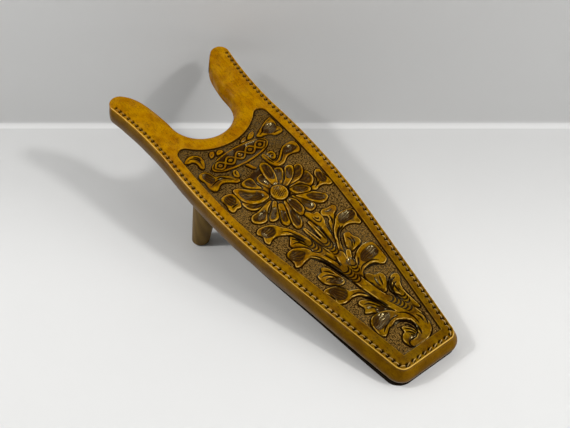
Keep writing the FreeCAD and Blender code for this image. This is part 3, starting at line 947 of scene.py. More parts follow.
# The main stem with the large leaves that branch off it
STEMS = [
    dict(outlines=[[(3, 144), (5, 145.6), (7, 143), (9.2, 140.6), (12.2, 140.4), (13, 136), (12, 131),
          (9.4, 128), (6, 128.6), (4.2, 134), (3.6, 139)], [(14, 138), (17, 139.8), (21, 138.8),
          (25.8, 138.6), (27.2, 136), (25.4, 133.2), (22.4, 132), (20, 129.4), (17.6, 125.6), (14.6, 122),
          (12.4, 124), (15.6, 129.4), (16, 133), (13.6, 135)]],
         stems=[[(8.4, 130, 2.4), (7.4, 122, 2.0), (5.6, 112, 1.9), (2.4, 101, 2.2)], [(15.4, 127, 2.0),
          (11.4, 118, 1.7), (7, 108, 1.8), (3, 100, 2.4)]],
         cuts=[[(5.8, 138.4), (6.4, 133.6), (8.6, 131.6), (11, 133.6)], [(7.4, 137.6), (8.4, 134.8),
          (9.8, 135.6)], [(17, 136.6), (20, 135.6), (23, 136)], [(17.6, 132.6), (16.8, 128.4),
          (14.6, 124.8)], [(9.6, 127), (8.6, 119), (6.6, 110)]]),
    dict(stems=[[(-5.4, 133, 1.2), (-4.2, 124, 1.7), (-2.6, 113, 1.7), (0, 101, 2.0)], [(1.4, 136, 1.2),
          (1.8, 125, 1.8), (1.6, 112, 1.8), (1, 101, 2.0)]],
         cuts=[[(-5, 130), (-3.8, 121), (-2, 111), (0, 103)], [(1.6, 132), (1.9, 122), (1.4, 110)]]),
    dict(outlines=[[(16.4, 124), (20, 127.6), (25, 129.8), (31, 129.4), (36, 127.4), (36.8, 123.6),
          (34.6, 119.6), (34.6, 115.2), (32, 113.6), (29, 116), (25, 118), (20, 118), (15, 116.2),
          (11.4, 112.6), (8.2, 107.4), (5.4, 100), (2, 98), (3, 103), (6.4, 110), (9.4, 116),
          (12.6, 120.6)]],
         hollows=[[(20.6, 123.6), (24, 127), (29, 127.6), (33.8, 126.4), (34, 123.2), (31, 121), (26, 121),
          (22, 121.2)]],
         cuts=[[(6.4, 105.6), (10, 112.4), (14.4, 118), (18.4, 120.4)]]),
    dict(outlines=[[(-37, 150), (-33.6, 153), (-28, 152.4), (-23, 150.2), (-19.8, 146.4), (-18, 141),
          (-20, 137.4), (-23, 138.8), (-27, 140.2), (-31, 139.6), (-35, 137.6), (-36.4, 141), (-35, 145.6)]],
         stems=[[(-21.6, 142.6, 3.4), (-16.6, 138, 2.6), (-12.6, 130.6, 2.2), (-9, 121, 2.0),
          (-6, 111, 2.1), (-3, 101, 2.6)]],
         hollows=[[(-33.6, 148.4), (-30, 150.2), (-26, 149.2), (-24.4, 145.8), (-27, 142.8), (-31.6, 142.8),
          (-34, 145.4)]],
         cuts=[[(-22, 141), (-17.4, 138.6), (-13.6, 131.6), (-10.4, 123), (-7.6, 113)]]),
    dict(outlines=[[(-31, 121), (-29, 123.8), (-24, 124.2), (-19.4, 122.4), (-15.6, 119), (-13.8, 115),
          (-16, 111.6), (-20, 110.8), (-24, 110.2), (-28, 109), (-31.6, 110.2), (-30.4, 114.6)]],
         stems=[[(-17, 113.6, 2.6), (-12.4, 108.6, 2.2), (-9, 101, 2.2), (-6.4, 92, 2.3), (-4.2, 83, 2.6),
          (-2.4, 75, 3.0)]],
         hollows=[[(-29.4, 120), (-26, 121.6), (-22, 120.2), (-19.4, 116.8), (-22.4, 114.2), (-26, 113.6),
          (-29, 115.6)]],
         cuts=[[(-18, 112.2), (-13.6, 108.4), (-10.2, 101), (-7.6, 92), (-5.8, 84)]]),
    dict(outlines=[[(5.6, 85.4), (8.6, 91), (13.6, 95.2), (20, 97.4), (26, 96.6), (28.8, 94), (29, 89),
          (28.4, 83), (27.6, 78), (24, 75.6), (21, 77), (18.8, 80), (14.6, 81.2), (10, 80.8), (5.6, 79),
          (2.4, 74.4), (-1, 74), (1, 80)]],
         stems=[[(1.6, 100, 3.4), (-0.4, 92, 3.6), (-1.6, 82, 3.6), (-1.6, 73, 3.6)], [(8.4, 99, 1.8),
          (5, 93, 2.0), (3, 86, 2.2), (0.6, 78, 2.6)]],
         hollows=[[(12, 87.4), (15, 91.2), (20, 92.8), (25.6, 92.4), (26.4, 88.6), (24.4, 85.4), (19, 84.6),
          (14, 84.8)], [(1.6, 92), (4, 93.2), (6.6, 92), (5, 88.4), (3, 86)]],
         cuts=[[(3.4, 79), (8, 82.8), (13, 83.4), (18, 82.8), (22, 80)], [(4, 84.4), (7.6, 86.6),
          (10.8, 90.6)], [(-3.4, 98), (-3.6, 91), (-3, 86)]]),
    dict(outlines=[[(-28, 83), (-24, 82.8), (-19, 80.8), (-15.4, 76.6), (-13, 72), (-12, 67.6), (-17, 66.6),
          (-22, 66.2), (-25.4, 68.2), (-26.2, 71), (-25.4, 74), (-26.8, 78.6)]],
         stems=[[(-14, 69.6, 2.8), (-8.4, 67.4, 2.4), (-3.4, 62, 2.6), (0.4, 54, 3.0), (3.4, 46, 3.6)]],
         hollows=[[(-25.2, 79.2), (-22, 80.6), (-17.8, 78.2), (-15.6, 74.2), (-17.6, 70.2), (-21, 69.6),
          (-24.2, 72.4)]],
         cuts=[[(-16, 68), (-10, 67.6), (-5, 63), (-1.4, 56), (1, 49)]]),
    dict(outlines=[[(-19, 37.6), (-18.4, 42), (-15, 45.6), (-10, 46.4), (-4, 45), (1, 41.6), (3, 37),
          (-1, 35.4), (-5, 34.6), (-10, 32.6), (-14, 29.8), (-16.8, 29), (-18.6, 32)]],
         stems=[[(-1.6, 76, 3.4), (-0.6, 69, 3.6), (1.4, 60, 3.4), (4, 50, 4.0), (7.4, 42, 4.8),
          (11.0, 34, 5.2), (12.2, 26, 5.0), (11.2, 19.4, 5.2), (8, 15.4, 4.2), (2, 13, 2.6),
          (-4, 13.4, 2.2)], [(-8, 36, 3.4), (-2, 37.4, 3.0), (4, 36, 4.0), (8.6, 32, 4.0)]],
         hollows=[[(-16.8, 40.4), (-14, 44), (-9, 44.6), (-4, 42.2), (-5.6, 38.4), (-10, 36.2),
          (-14.6, 35.4), (-17, 37)]],
         cuts=[[(-15.6, 31.6), (-10.6, 34.8), (-4, 36.8), (2, 36.2)], [(15.4, 30.6), (17, 25.8),
          (16.2, 21.8), (14.4, 18.4)], [(12.6, 29.6), (14, 26), (13.6, 22.4)], [(2.6, 38.4), (7.4, 35),
          (10, 29), (9.8, 22.4)]]),
]


FLOWER = 0.5 + 171.4j
FLOWER_REACH = 30
FLOWER_BASE = 22.0, 20.5
SEED_DISC = 6.6, 7.2
SEED_FIELD = 5.6, 6.2
SEED_PITCH = 2.1
SEED_TURN = 0.3j
HALO = 7.7, 8.3
# Outline and hollow of each petal, those that lie behind first
PETALS = [
    ([(-9.4, 169.8), (-16, 168), (-22, 167.6), (-26.6, 169.4), (-29, 173.6), (-29.2, 179), (-26, 177),
      (-22, 173.4), (-16, 171.6), (-10, 171)],
     [(-14, 169.4), (-20, 169), (-25, 170.8), (-27.4, 174.4), (-24, 172.6), (-19, 170.8)]),
    ([(-10, 167.8), (-16, 164), (-20, 160), (-23.4, 155.6), (-28, 155.6), (-32.2, 158.6), (-32.8, 162),
      (-30, 165.2), (-24, 165.8), (-18, 167.4), (-11, 169)],
     [(-19, 163), (-22.6, 159.6), (-26.6, 158.2), (-30.6, 160.4), (-29, 163.4), (-24, 163.8)]),
    ([(-7, 165.6), (-9, 160), (-12, 155), (-16, 152), (-20.4, 152.4), (-21.4, 155), (-18, 159), (-13, 163),
      (-9, 167)],
     [(-11.4, 160.8), (-14.4, 157), (-17.6, 154.2), (-19.2, 155.6), (-16.4, 159.2), (-13, 162)]),
    ([(-4, 160.4), (-6, 155), (-8, 150), (-10, 144.6), (-13.6, 143.4), (-15.4, 147), (-13, 152.4),
      (-10, 158.4), (-7, 163)],
     [(-8, 154), (-9.4, 150.4), (-11.4, 146.8), (-13.2, 148.4), (-11.6, 152.6), (-9.4, 156)]),
    ([(-1.2, 163.4), (-0.6, 156), (-0.3, 150), (-1, 144), (-3, 139), (-6, 136.2), (-9.2, 136.8),
      (-9.7, 141), (-8, 147), (-5, 154), (-3, 160.6)],
     [(-3.4, 152.4), (-1.8, 150), (-2, 145), (-4.2, 140.4), (-7.2, 139), (-7.6, 143), (-5.6, 148.4)]),
    ([(6, 163.4), (10, 159.2), (14, 154), (15.8, 149), (15.2, 145.2), (11, 143.4), (7.8, 145.2), (6.8, 151),
      (7, 157)],
     [(10, 155.4), (12.4, 153), (13.8, 149), (13, 145.8), (10.4, 146.2), (9.2, 150.6)]),
    ([(1, 163.8), (4, 162.3), (6.6, 158), (7.1, 152), (6, 147.6), (2, 144.6), (-0.2, 147), (-0.6, 153),
      (0, 160)],
     [(1.2, 160.2), (3.6, 159.6), (4.8, 155), (4.4, 150.2), (2.2, 147.8), (1, 151), (0.8, 156)]),
    ([(8.6, 161.4), (12.4, 160.4), (18, 158.7), (22, 157.2), (26, 153.2), (28.7, 150), (28.2, 146.6),
      (24, 144.6), (20, 145.6), (16, 150), (12.6, 155.4)],
     [(16, 156.6), (19.5, 155.8), (23.4, 153), (26.4, 149.6), (24.6, 147), (20.6, 148.4), (17.2, 152.4)]),
    ([(8.6, 169.4), (13, 170), (17.2, 168.2), (21, 165.2), (22.8, 161.2), (20.2, 159), (15, 160.6),
      (10, 163.6)],
     [(11.2, 166.8), (14.5, 168.2), (18, 166.2), (20.6, 162.8), (18.4, 161.2), (14.4, 162.8)]),
    ([(10, 171), (18, 171.5), (22.3, 173.2), (27, 176), (30.2, 176.2), (31.4, 172), (30.4, 167),
      (27.2, 163.8), (24.2, 163), (22, 166), (18.8, 169.8), (11, 170.4)],
     [(20.5, 171.2), (24, 174), (28.6, 174.6), (29, 170), (26.5, 166.4), (24, 166), (22.1, 168.8)]),
    ([(10, 173.4), (19.5, 179.2), (23.4, 183.8), (27, 185.6), (30, 184.6), (30.4, 181), (28.2, 177),
      (24.2, 174), (18.8, 172.4)],
     [(20, 176.5), (23.4, 180.7), (26.8, 183.4), (28.4, 181.8), (26.4, 178), (22.6, 175.4)]),
    ([(7.2, 175.5), (12, 179), (15.8, 184), (18.6, 187.8), (22, 188.4), (24.5, 186.6), (23.4, 183),
      (20, 179), (15, 175.2), (9, 172.8)],
     [(14.3, 179.5), (17.3, 183.7), (20, 186), (21.8, 185), (20.2, 181.5), (16.7, 177.8)]),
    ([(4.8, 178.4), (6, 184), (7.6, 188.2), (10, 191), (13, 191.5), (16, 189.4), (15.6, 186), (12.3, 182),
      (8.5, 178.2), (6.5, 177)],
     [(7.6, 182.5), (8.8, 186.5), (11, 189.2), (13.6, 188.8), (13.4, 186), (10.8, 182.3), (8.6, 180.3)]),
    ([(-2.6, 178.5), (-4.7, 182), (-6.6, 187.5), (-6.2, 191.2), (-3.4, 192.8), (-0.2, 193), (1.2, 191),
      (0.5, 186), (0.6, 179)],
     [(-3, 183.3), (-4.6, 187.5), (-3.8, 190.8), (-1.2, 191), (-0.9, 187), (-1.5, 182.8)]),
    ([(1, 179), (0.3, 186), (1, 192.5), (3, 199.7), (6.5, 201.8), (9.5, 199.5), (10.4, 194.5), (9, 187.5),
      (6.5, 181.5), (4.5, 178.5)],
     [(3, 187.4), (3.3, 193), (5.2, 198), (7.7, 197.2), (8.2, 193), (7, 187.3), (5, 184.3)]),
    ([(-8.2, 182), (-12, 184), (-15.6, 187), (-18.6, 191), (-18, 194.4), (-14, 195.6), (-9.8, 195),
      (-8.6, 191.6), (-9.2, 186.4)],
     [(-11, 186.2), (-14, 188.4), (-16, 191.6), (-13.6, 193.6), (-11, 192.8), (-10.6, 189.4)]),
    ([(-9, 172), (-16, 171.4), (-21, 173), (-25, 176), (-27.6, 181), (-28.2, 187), (-27.6, 192.6),
      (-23.6, 192.2), (-20.4, 189.4), (-17, 186), (-13, 183), (-9, 179.4), (-8, 175.4)],
     [(-12, 175.2), (-17, 174.6), (-21.8, 177.6), (-24.6, 182), (-25.2, 187.6), (-23, 188.4), (-20, 184.6),
      (-16, 181.2), (-12.4, 178.4)]),
]


def ring(centre, across, along):
    """Points of an ellipse."""
    turns = [2 * math.pi * number / RING_POINTS for number in range(RING_POINTS)]
    return [(centre.real + across * math.cos(turn), centre.imag + along * math.sin(turn)) for turn in turns]


def carve_flower(carving):
    """Petals laid over each other, and the seed disc in the middle."""
    carving.matted *= 1 - ease((FLOWER_REACH - np.abs(carving.spots - FLOWER)) / 5)
    carving.motif([ring(FLOWER, *FLOWER_BASE)])
    for petal, hollow in PETALS:
        carving.motif([petal], hollows=[hollow], ribs=FLOWER, bevel=PETAL_BEVEL, growth=PETAL_GROWTH)
    disc = ring(FLOWER, *SEED_DISC)
    carving.motif([disc], bevel=2.2)
    near = carving.around(disc, 0)
    spots = carving.spots[near] - FLOWER
    across, along = SEED_FIELD
    depth = np.clip(1 - np.abs(spots.real / across + 1j * spots.imag / along), 0, 1)
    turned = spots * cmath.exp(SEED_TURN)
    seeds = np.cos(turned.real * 2 * math.pi / SEED_PITCH) * np.cos(turned.imag * 2 * math.pi / SEED_PITCH)
    carving.height[near] += ease(depth * 5) * (0.35 * seeds - 0.3)
    carving.tone[near] += ease(depth * 5) * (0.5 * seeds - 0.12)
    halo = ring(FLOWER, *HALO)
    carving.knife(halo[9:] + halo[:3], 1.1, 0.3)


CARTOUCHE = -2.0 + 217.6j
CARTOUCHE_RIM = 26.4, 8.7
CARTOUCHE_FIELD = 25.5, 7.8
BRAID_PITCH = 19.0
BRAID_RISE = 3.7
BRAID_TURNS = 1.25
STRAND_POINTS = 41
STRAND_HALF_WIDTH = 0.75
BERRY = 1.7, 1.5


def carve_cartouche(carving):
    """Dark oval field with a thin raised rim, and a plain braid with berries along its middle."""
    carving.motif([ring(CARTOUCHE, *CARTOUCHE_RIM)], bevel=1.6)
    field = ring(CARTOUCHE, *CARTOUCHE_FIELD)
    near = carving.around(field)
    inside = ease(-loop_depth(carving.spots[near], field) / 0.8)
    carving.height[near] = carving.height[near] * (1 - inside) + (GROUND_LEVEL + 0.1) * inside
    carving.tone[near] *= 1 - 0.85 * inside
    turns = np.linspace(-BRAID_TURNS, BRAID_TURNS, STRAND_POINTS) * 2 * math.pi
    strands = [[(CARTOUCHE.real + turn * BRAID_PITCH / (2 * math.pi),
                 CARTOUCHE.imag + side * BRAID_RISE * math.cos(turn), STRAND_HALF_WIDTH) for turn in turns]
               for side in (-1, 1)]
    berries = [ring(CARTOUCHE + number * BRAID_PITCH / 2, *BERRY) for number in range(-2, 3)]
    carving.motif(berries, stems=strands, bevel=1.0)
    carving.tone[near] *= 1 - 0.3 * inside


# Half width and path of each shaded band
SHADED_BANDS = [
    (1.6, [(-8.6, 62.6), (-5.2, 59.8), (-2.4, 55.6), (-0.4, 51.4), (1.4, 46.4)]),
    (0.9, [(-9, 59), (-6.4, 57), (-4.4, 53.6), (-3, 50.4)]),
    (1.5, [(-6, 32), (0.2, 32), (4.6, 29), (6.6, 23.8), (6.6, 18.6), (5.2, 14.8)]),
    (0.9, [(0.4, 29), (3, 26.8), (4.2, 23), (4.2, 19), (3.6, 16)]),
    (1.7, [(-17.4, 109), (-13, 103.6), (-10.2, 96.6), (-8.2, 88), (-6.4, 79)]),
    (0.9, [(-14, 100), (-12, 94), (-10.6, 88), (-9.4, 82)]),
    (1.5, [(-20.4, 137), (-16, 132.8), (-13.4, 126.6), (-11.2, 119.4), (-9.6, 113)]),
    (0.9, [(-18.6, 132), (-16, 127), (-14.4, 121)]),
    (1.5, [(8.2, 109), (11.4, 114.8), (15.4, 117.6), (20, 118.8)]),
    (1.5, [(8.4, 80.2), (13, 80.4), (17.4, 79.4), (20, 77)]),
    (1.7, [(19.6, 65), (15.4, 60.6), (12.6, 55), (12, 49), (13, 43), (15, 38)]),
    (1.0, [(17.6, 60), (16.2, 55), (16, 49), (16.6, 43)]),
    (0.9, [(22.4, 58), (20.6, 52), (20.4, 45), (20.6, 38), (19.6, 30)]),
    (1.5, [(-1, 131), (-0.8, 121), (-0.2, 112), (0.6, 106)]),
    (1.5, [(3.8, 131), (4, 121), (3, 112), (1.6, 106)]),
    (1.3, [(-8.4, 128), (-7, 120), (-5.4, 112), (-4, 105)]),
]

# Where each row of nested crescents starts and ends, and half its width
CRESCENTS = [
    (7.2 + 49.5j, 13.2 + 35.5j, 3.0), (0.0 + 115.0j, 0.6 + 101.5j, 2.6), (-3.6 + 87.0j, -1.6 + 75.0j, 3.0),
    (-10.4 + 120.0j, -7.6 + 109.0j, 2.4), (16.4 + 47.0j, 15.4 + 39.0j, 1.9), (4.2 + 88.0j, 2.4 + 82.0j, 2.4),
]


def carve_bands(carving):
    """Deep shaded bands that follow the stems, and nested crescents where stems part."""
    for half_width, path in SHADED_BANDS:
        carving.knife(path, half_width, BAND_DEPTH)
    for start, end, width in CRESCENTS:
        way = unit(end - start)
        bed = ((start - 4 * way, -1.4), (start, -0.2), ((start + end) / 2, 0.4), (end, 0.0))
        carving.spoon([(spot.real, spot.imag, width + grow) for spot, grow in bed])
        for number in range(int(abs(end - start) / CRESCENT_PITCH) + 1):
            middle = start + way * CRESCENT_PITCH * number
            bow = [middle + way * width * (0.95 * math.sin(turn) - 0.5 + 1j * math.cos(turn))
                   for turn in np.linspace(-0.2, math.pi + 0.2, 8)]
            carving.knife([(spot.real, spot.imag) for spot in bow], depth=CRESCENT_DEPTH)


def bead_pattern(spots):
    """Fine uneven beads stamped over the background, from 0 between them to 1 on top."""
    cells = RANDOM_CELLS, RANDOM_CELLS
    jitter = np.random.default_rng(8).random((*cells, 2)) * 0.7 + 0.15
    strength = np.random.default_rng(9).random(cells) * 0.45 + 0.55
    across, along = spots.real / BEAD_PITCH, spots.imag / BEAD_PITCH
    column, row = np.floor(across).astype(int), np.floor(along).astype(int)
    beads = np.zeros(spots.shape)
    for right in (-1, 0, 1):
        for up in (-1, 0, 1):
            cell = (row + up) % RANDOM_CELLS, (column + right) % RANDOM_CELLS
            offset = jitter[cell]
            away = np.hypot(column + right + offset[..., 0] - across, row + up + offset[..., 1] - along)
            beads = np.maximum(beads, strength[cell] * np.clip(1.15 - (away / BEAD_RADIUS) ** 2, 0, 1))
    return beads


def panel_grid():
    """Spots that fill the panel row by row, a little past its edge on every side."""
    edge = PanelEdge(PANEL_MARGIN)
    rows, columns = np.linspace(0, 1, PANEL_ROWS)[:, None], np.linspace(-1, 1, PANEL_COLUMNS)[None, :]

    def whole(path, share):
        half = at_length(path, np.abs(share) * lengths(path)[-1])
        return np.where(share < 0, -half.conj(), half)

    bottom = whole(edge.bottom, columns)
    top = whole(edge.top[::-1], columns)
    right = at_length(edge.side, rows * lengths(edge.side)[-1])
    across = (columns + 1) / 2
    low, high = edge.side[0], edge.side[-1]
    corners = ((1 - rows) * ((1 - across) * -low.conjugate() + across * low)
               + rows * ((1 - across) * -high.conjugate() + across * high))
    return (1 - rows) * bottom + rows * top + (1 - across) * -right.conj() + across * right - corners


def carve_panel():
    """Carves the whole panel: its spots, heights and dye values."""
    even = panel_grid()
    spots = off_centre(even)
    carving = Carving(spots)
    for shape in LEAVES + STEMS:
        carving.motif(**shape)
    carve_bands(carving)
    carve_flower(carving)
    carve_cartouche(carving)
    beads = bead_pattern(spots)
    height = carving.height + carving.matted * BEAD_HEIGHT * (beads - 0.5)
    right_edge = joined([panel_edge.bottom, panel_edge.side, panel_edge.top])
    from_edge = distance_to(even, np.concatenate([-right_edge[::-1].conj(), right_edge])[::3])
    bank = BEVEL_LEVEL + 0.35 * ease(from_edge / 1.6) + 2.0 * ease((from_edge - 1.0) / 3.0)
    height = np.minimum(height, bank) + 0.03 * wander(spots, 4.0, 33)
    cut = np.maximum(carving.cut, hump(from_edge, 0, 0.7))
    near_flower = ease((FLOWER_REACH - np.abs(spots - FLOWER)) / 6)
    aged = 1 - 0.3 * ease((spots.imag - AGED_FROM) / AGED_FADE) - 0.05 * near_flower
    tone = aged * (carving.tone * (1 - carving.matted) + carving.matted * beads)
    return spots, height, dye_and_light_values(np.clip(tone, 0, 1), carving.matted, cut)


def make_tooled_panel():
    """The carved leather as closed sheets that meet row to row."""
    spots, height, colours = carve_panel()
    limits = np.linspace(0, PANEL_ROWS - 1, PANEL_PARTS + 1).astype(int)
    parts = []
    for name, start, end in zip(("lower", "middle", "upper"), limits, limits[1:]):
        rows, columns = end - start + 1, PANEL_COLUMNS
        top = from_board(spots[start:end + 1], height[start:end + 1]).reshape(-1, 3)
        edge = ([(row, 0) for row in range(rows)] + [(rows - 1, column) for column in range(1, columns)]
                + [(row, columns - 1) for row in range(rows - 2, -1, -1)]
                + [(0, column) for column in range(columns - 2, 0, -1)])
        rim = [row * columns + column for row, column in edge]
        under = from_board(spots[start:end + 1].ravel()[rim], -LEATHER)
        faces = grid_faces(rows, columns)
        base = rows * columns
        for number, spot in enumerate(rim):
            after = (number + 1) % len(rim)
            faces.append((spot, rim[after], base + after, base + number))
        faces.append(tuple(base + number for number in range(len(rim))))
        dyes_and_painted_light = colours[start:end + 1].reshape(-1, 4)
        parts.append(mesh_object("tooled_panel_" + name, np.concatenate([top, under]), faces,
                                 np.concatenate([dyes_and_painted_light, dyes_and_painted_light[rim]])))
    return parts


# ---- Nodes --------------------------------------------------------------------------------------

def add(tree, kind, inputs=None, **settings):
    """New node with its settings, input values and input links."""
    node = tree.nodes.new(kind)
    for name, value in settings.items():
        setattr(node, name, value)
    for name, value in (inputs or {}).items():
        if isinstance(value, bpy.types.NodeSocket):
            tree.links.new(value, node.inputs[name])
        else:
            node.inputs[name].default_value = value
    return node


def work(tree, operation, *values, clamp=False):
    """Result of a sum on numbers or sockets."""
    node = add(tree, "ShaderNodeMath", dict(enumerate(values)), operation=operation, use_clamp=clamp)
    return node.outputs[0]


def vector(tree, **parts):
    """Vector of which X, Y or Z is given and the rest is 0."""
    return add(tree, "ShaderNodeCombineXYZ", parts).outputs[0]


# ---- Thread -------------------------------------------------------------------------------------

STITCH_LENGTH = 3.5
STITCH_SLANT = math.radians(16)
STITCH_ARCH = 1.3
STITCH_SINK = 1.45
THREAD_TURNS = 2.2
PLY_SHARE = 0.56
STITCH_PATH_POINTS = 600
PLY_SIDES = 6
STITCH_POINTS = 9


def stitch_nodes():
    """Geometry nodes that lay twisted two-ply stitches along a curve."""
    tree = bpy.data.node_groups.new("stitches", "GeometryNodeTree")
    for name, kind in (("Curve", "Geometry"), ("Count", "Int"), ("Length", "Float"), ("Slant", "Float"),
                       ("Arch", "Float"), ("Diameter", "Float"), ("Thread", "Material")):
        tree.interface.new_socket(name, in_out="INPUT", socket_type="NodeSocket" + kind)
    tree.interface.new_socket("Stitches", in_out="OUTPUT", socket_type="NodeSocketGeometry")
    given = add(tree, "NodeGroupInput").outputs

    def step(kind, inputs, **settings):
        return add(tree, kind, inputs, **settings).outputs[0]

    # A stitch lies along its own X, half of it on each side of its middle
    half = work(tree, "MULTIPLY", given["Length"], 0.5)
    start = vector(tree, X=work(tree, "MULTIPLY", half, -1.0))
    core = step("GeometryNodeCurvePrimitiveLine", {"Start": start, "End": vector(tree, X=half)})
    fine = step("GeometryNodeResampleCurve", {"Curve": core, "Count": STITCH_POINTS})
    share = add(tree, "GeometryNodeSplineParameter").outputs["Factor"]
    bow = work(tree, "SINE", work(tree, "MULTIPLY", share, math.pi))
    rise = work(tree, "MULTIPLY_ADD", work(tree, "POWER", bow, 0.5), given["Arch"], -STITCH_SINK)
    arched = step("GeometryNodeSetPosition", {"Geometry": fine, "Offset": vector(tree, Z=rise)})
    twist = work(tree, "MULTIPLY", share, THREAD_TURNS * 2 * math.pi)
    twisted = step("GeometryNodeSetCurveTilt", {"Curve": arched, "Tilt": twist})

    # Two plies side by side
    radius = work(tree, "MULTIPLY", given["Diameter"], PLY_SHARE / 2)
    ply = step("GeometryNodeCurvePrimitiveCircle", {"Resolution": PLY_SIDES, "Radius": radius})
    plies = add(tree, "GeometryNodeJoinGeometry")
    for side in (-1, 1):
        offset = work(tree, "MULTIPLY", given["Diameter"], side * (1 - PLY_SHARE) / 2)
        moved = step("GeometryNodeTransform", {"Geometry": ply, "Translation": vector(tree, X=offset)})
        tree.links.new(moved, plies.inputs[0])
    thread = step("GeometryNodeCurveToMesh", {"Curve": twisted, "Profile Curve": plies.outputs[0],
                                              "Fill Caps": True})

    # One stitch at each spot, turned along the line and slanted
    spots = add(tree, "GeometryNodeCurveToPoints", {"Curve": given["Curve"], "Count": given["Count"]},
                mode="COUNT").outputs
    facing = step("FunctionNodeAlignRotationToVector", {"Vector": spots["Tangent"]}, axis="X", pivot_axis="Z")
    slant = vector(tree, Z=given["Slant"])
    turned = step("FunctionNodeRotateRotation", {"Rotation": facing, "Rotate By": slant},
                  rotation_space="LOCAL")
    laid = step("GeometryNodeInstanceOnPoints", {"Points": spots["Points"], "Rotation": turned,
                                                 "Instance": thread})
    real = step("GeometryNodeRealizeInstances", {"Geometry": laid})
    done = step("GeometryNodeSetMaterial", {"Geometry": real, "Material": given["Thread"]})
    add(tree, "NodeGroupOutput", {"Stitches": done})
    return tree


def make_stitches(thread):
    """All stitches as one mesh, laid along both halves of the stitch line."""
    share = np.linspace(0, 1 - 0.5 / stitch_line.stitches, STITCH_PATH_POINTS)
    half = at_length(stitch_line.path, share * stitch_line.length)
    path = np.concatenate([-half[:0:-1].conj(), half])
    curve = bpy.data.curves.new("stitch_path", "CURVE")
    curve.dimensions = "3D"
    spline = curve.splines.new("POLY")
    spline.points.add(len(path) - 1)
    nothing = np.zeros(len(path))
    spline.points.foreach_set("co", np.stack([path.real, path.imag, nothing, nothing + 1], -1).ravel())
    guide = bpy.data.objects.new("stitch_guide", curve)
    bpy.context.scene.collection.objects.link(guide)
    tree = stitch_nodes()
    modifier = guide.modifiers.new("stitches", "NODES")
    modifier.node_group = tree
    values = {"Count": 2 * stitch_line.stitches, "Length": STITCH_LENGTH, "Slant": STITCH_SLANT,
              "Arch": STITCH_ARCH, "Diameter": THREAD_DIAMETER, "Thread": thread}
    for socket in tree.interface.items_tree:
        if socket.name in values:
            modifier[socket.identifier] = values[socket.name]
    mesh = bpy.data.meshes.new_from_object(guide.evaluated_get(bpy.context.evaluated_depsgraph_get()))
    guide.modifiers.clear()
    bpy.data.objects.remove(guide)
    flat = np.empty(len(mesh.vertices) * 3)
    mesh.vertices.foreach_get("co", flat)
    flat = flat.reshape(-1, 3)
    mesh.vertices.foreach_set("co", from_board(flat[:, 0] + 1j * flat[:, 1], flat[:, 2]).ravel())
    mesh.name = "stitches"
    stitches = bpy.data.objects.new("stitches", mesh)
    bpy.context.scene.collection.objects.link(stitches)
    tidy_mesh(mesh)
    return stitches


# ---- Finishes -----------------------------------------------------------------------------------

def mix(tree, share, first, second, blend="MIX"):
    """Colour mixed from two others."""
    node = add(tree, "ShaderNodeMix", {0: share, 6: first, 7: second}, data_type="RGBA", blend_type=blend)
    return node.outputs[2]


def between(tree, value, low, high, out_low=0.0, out_high=1.0):
    """A value carried smoothly from one range to another."""
    return add(tree, "ShaderNodeMapRange", {"Value": value, "From Min": low, "From Max": high,
                                            "To Min": out_low, "To Max": out_high},
               interpolation_type="SMOOTHSTEP").outputs[0]


def noise(tree, place, scale, detail, roughness=0.5):
    """Soft random pattern from 0 to 1; its scale is in waves to the metre."""
    return add(tree, "ShaderNodeTexNoise", {"Vector": place, "Scale": scale, "Detail": detail,
                                            "Roughness": roughness}).outputs["Fac"]


def group(name, inputs, outputs):
    """Empty shader node group with named sockets: its tree, what is given and a place for the results."""
    tree = bpy.data.node_groups.new(name, "ShaderNodeTree")
    for socket, kind in inputs:
        tree.interface.new_socket(socket, in_out="INPUT", socket_type="NodeSocket" + kind)
    for socket, kind in outputs:
        tree.interface.new_socket(socket, in_out="OUTPUT", socket_type="NodeSocket" + kind)
    return tree, add(tree, "NodeGroupInput").outputs


def along_board(tree, place):
    """How far a point lies from the frame's origin along the jack, in metres."""
    return add(tree, "ShaderNodeSeparateXYZ", {0: place}).outputs["Y"]


def flat_place(tree, place, stretch):
    """Position in metres along the sloping board, squeezed lengthwise."""
    turned = add(tree, "ShaderNodeVectorRotate", {"Vector": place, "Angle": -INCLINE}, rotation_type="X_AXIS")
    return scaled(tree, turned.outputs[0], (1.0, stretch, 1.0))


def scaled(tree, place, factors):
    """Position squeezed or stretched along each direction."""
    return add(tree, "ShaderNodeVectorMath", {0: place, 1: factors}, operation="MULTIPLY").outputs[0]


# Scale, detail and roughness of the patterns in a hide
MOTTLING = 90.0, 6.0, 0.7
STREAKING = 800.0, 4.0, 0.6
SPECKING = 1000.0, 2.0
GRAIN = 500.0, 4.0
PORE_SCALE = 1300.0
STREAK_STRETCH = 0.2

# Share of the deeper dye in full patches, streaks and specks
DYE_SHARES = (("Mottle", 0.8, "Deep"), ("Streaks", 0.36, "Dark"), ("Specks", 0.8, "Dark"))


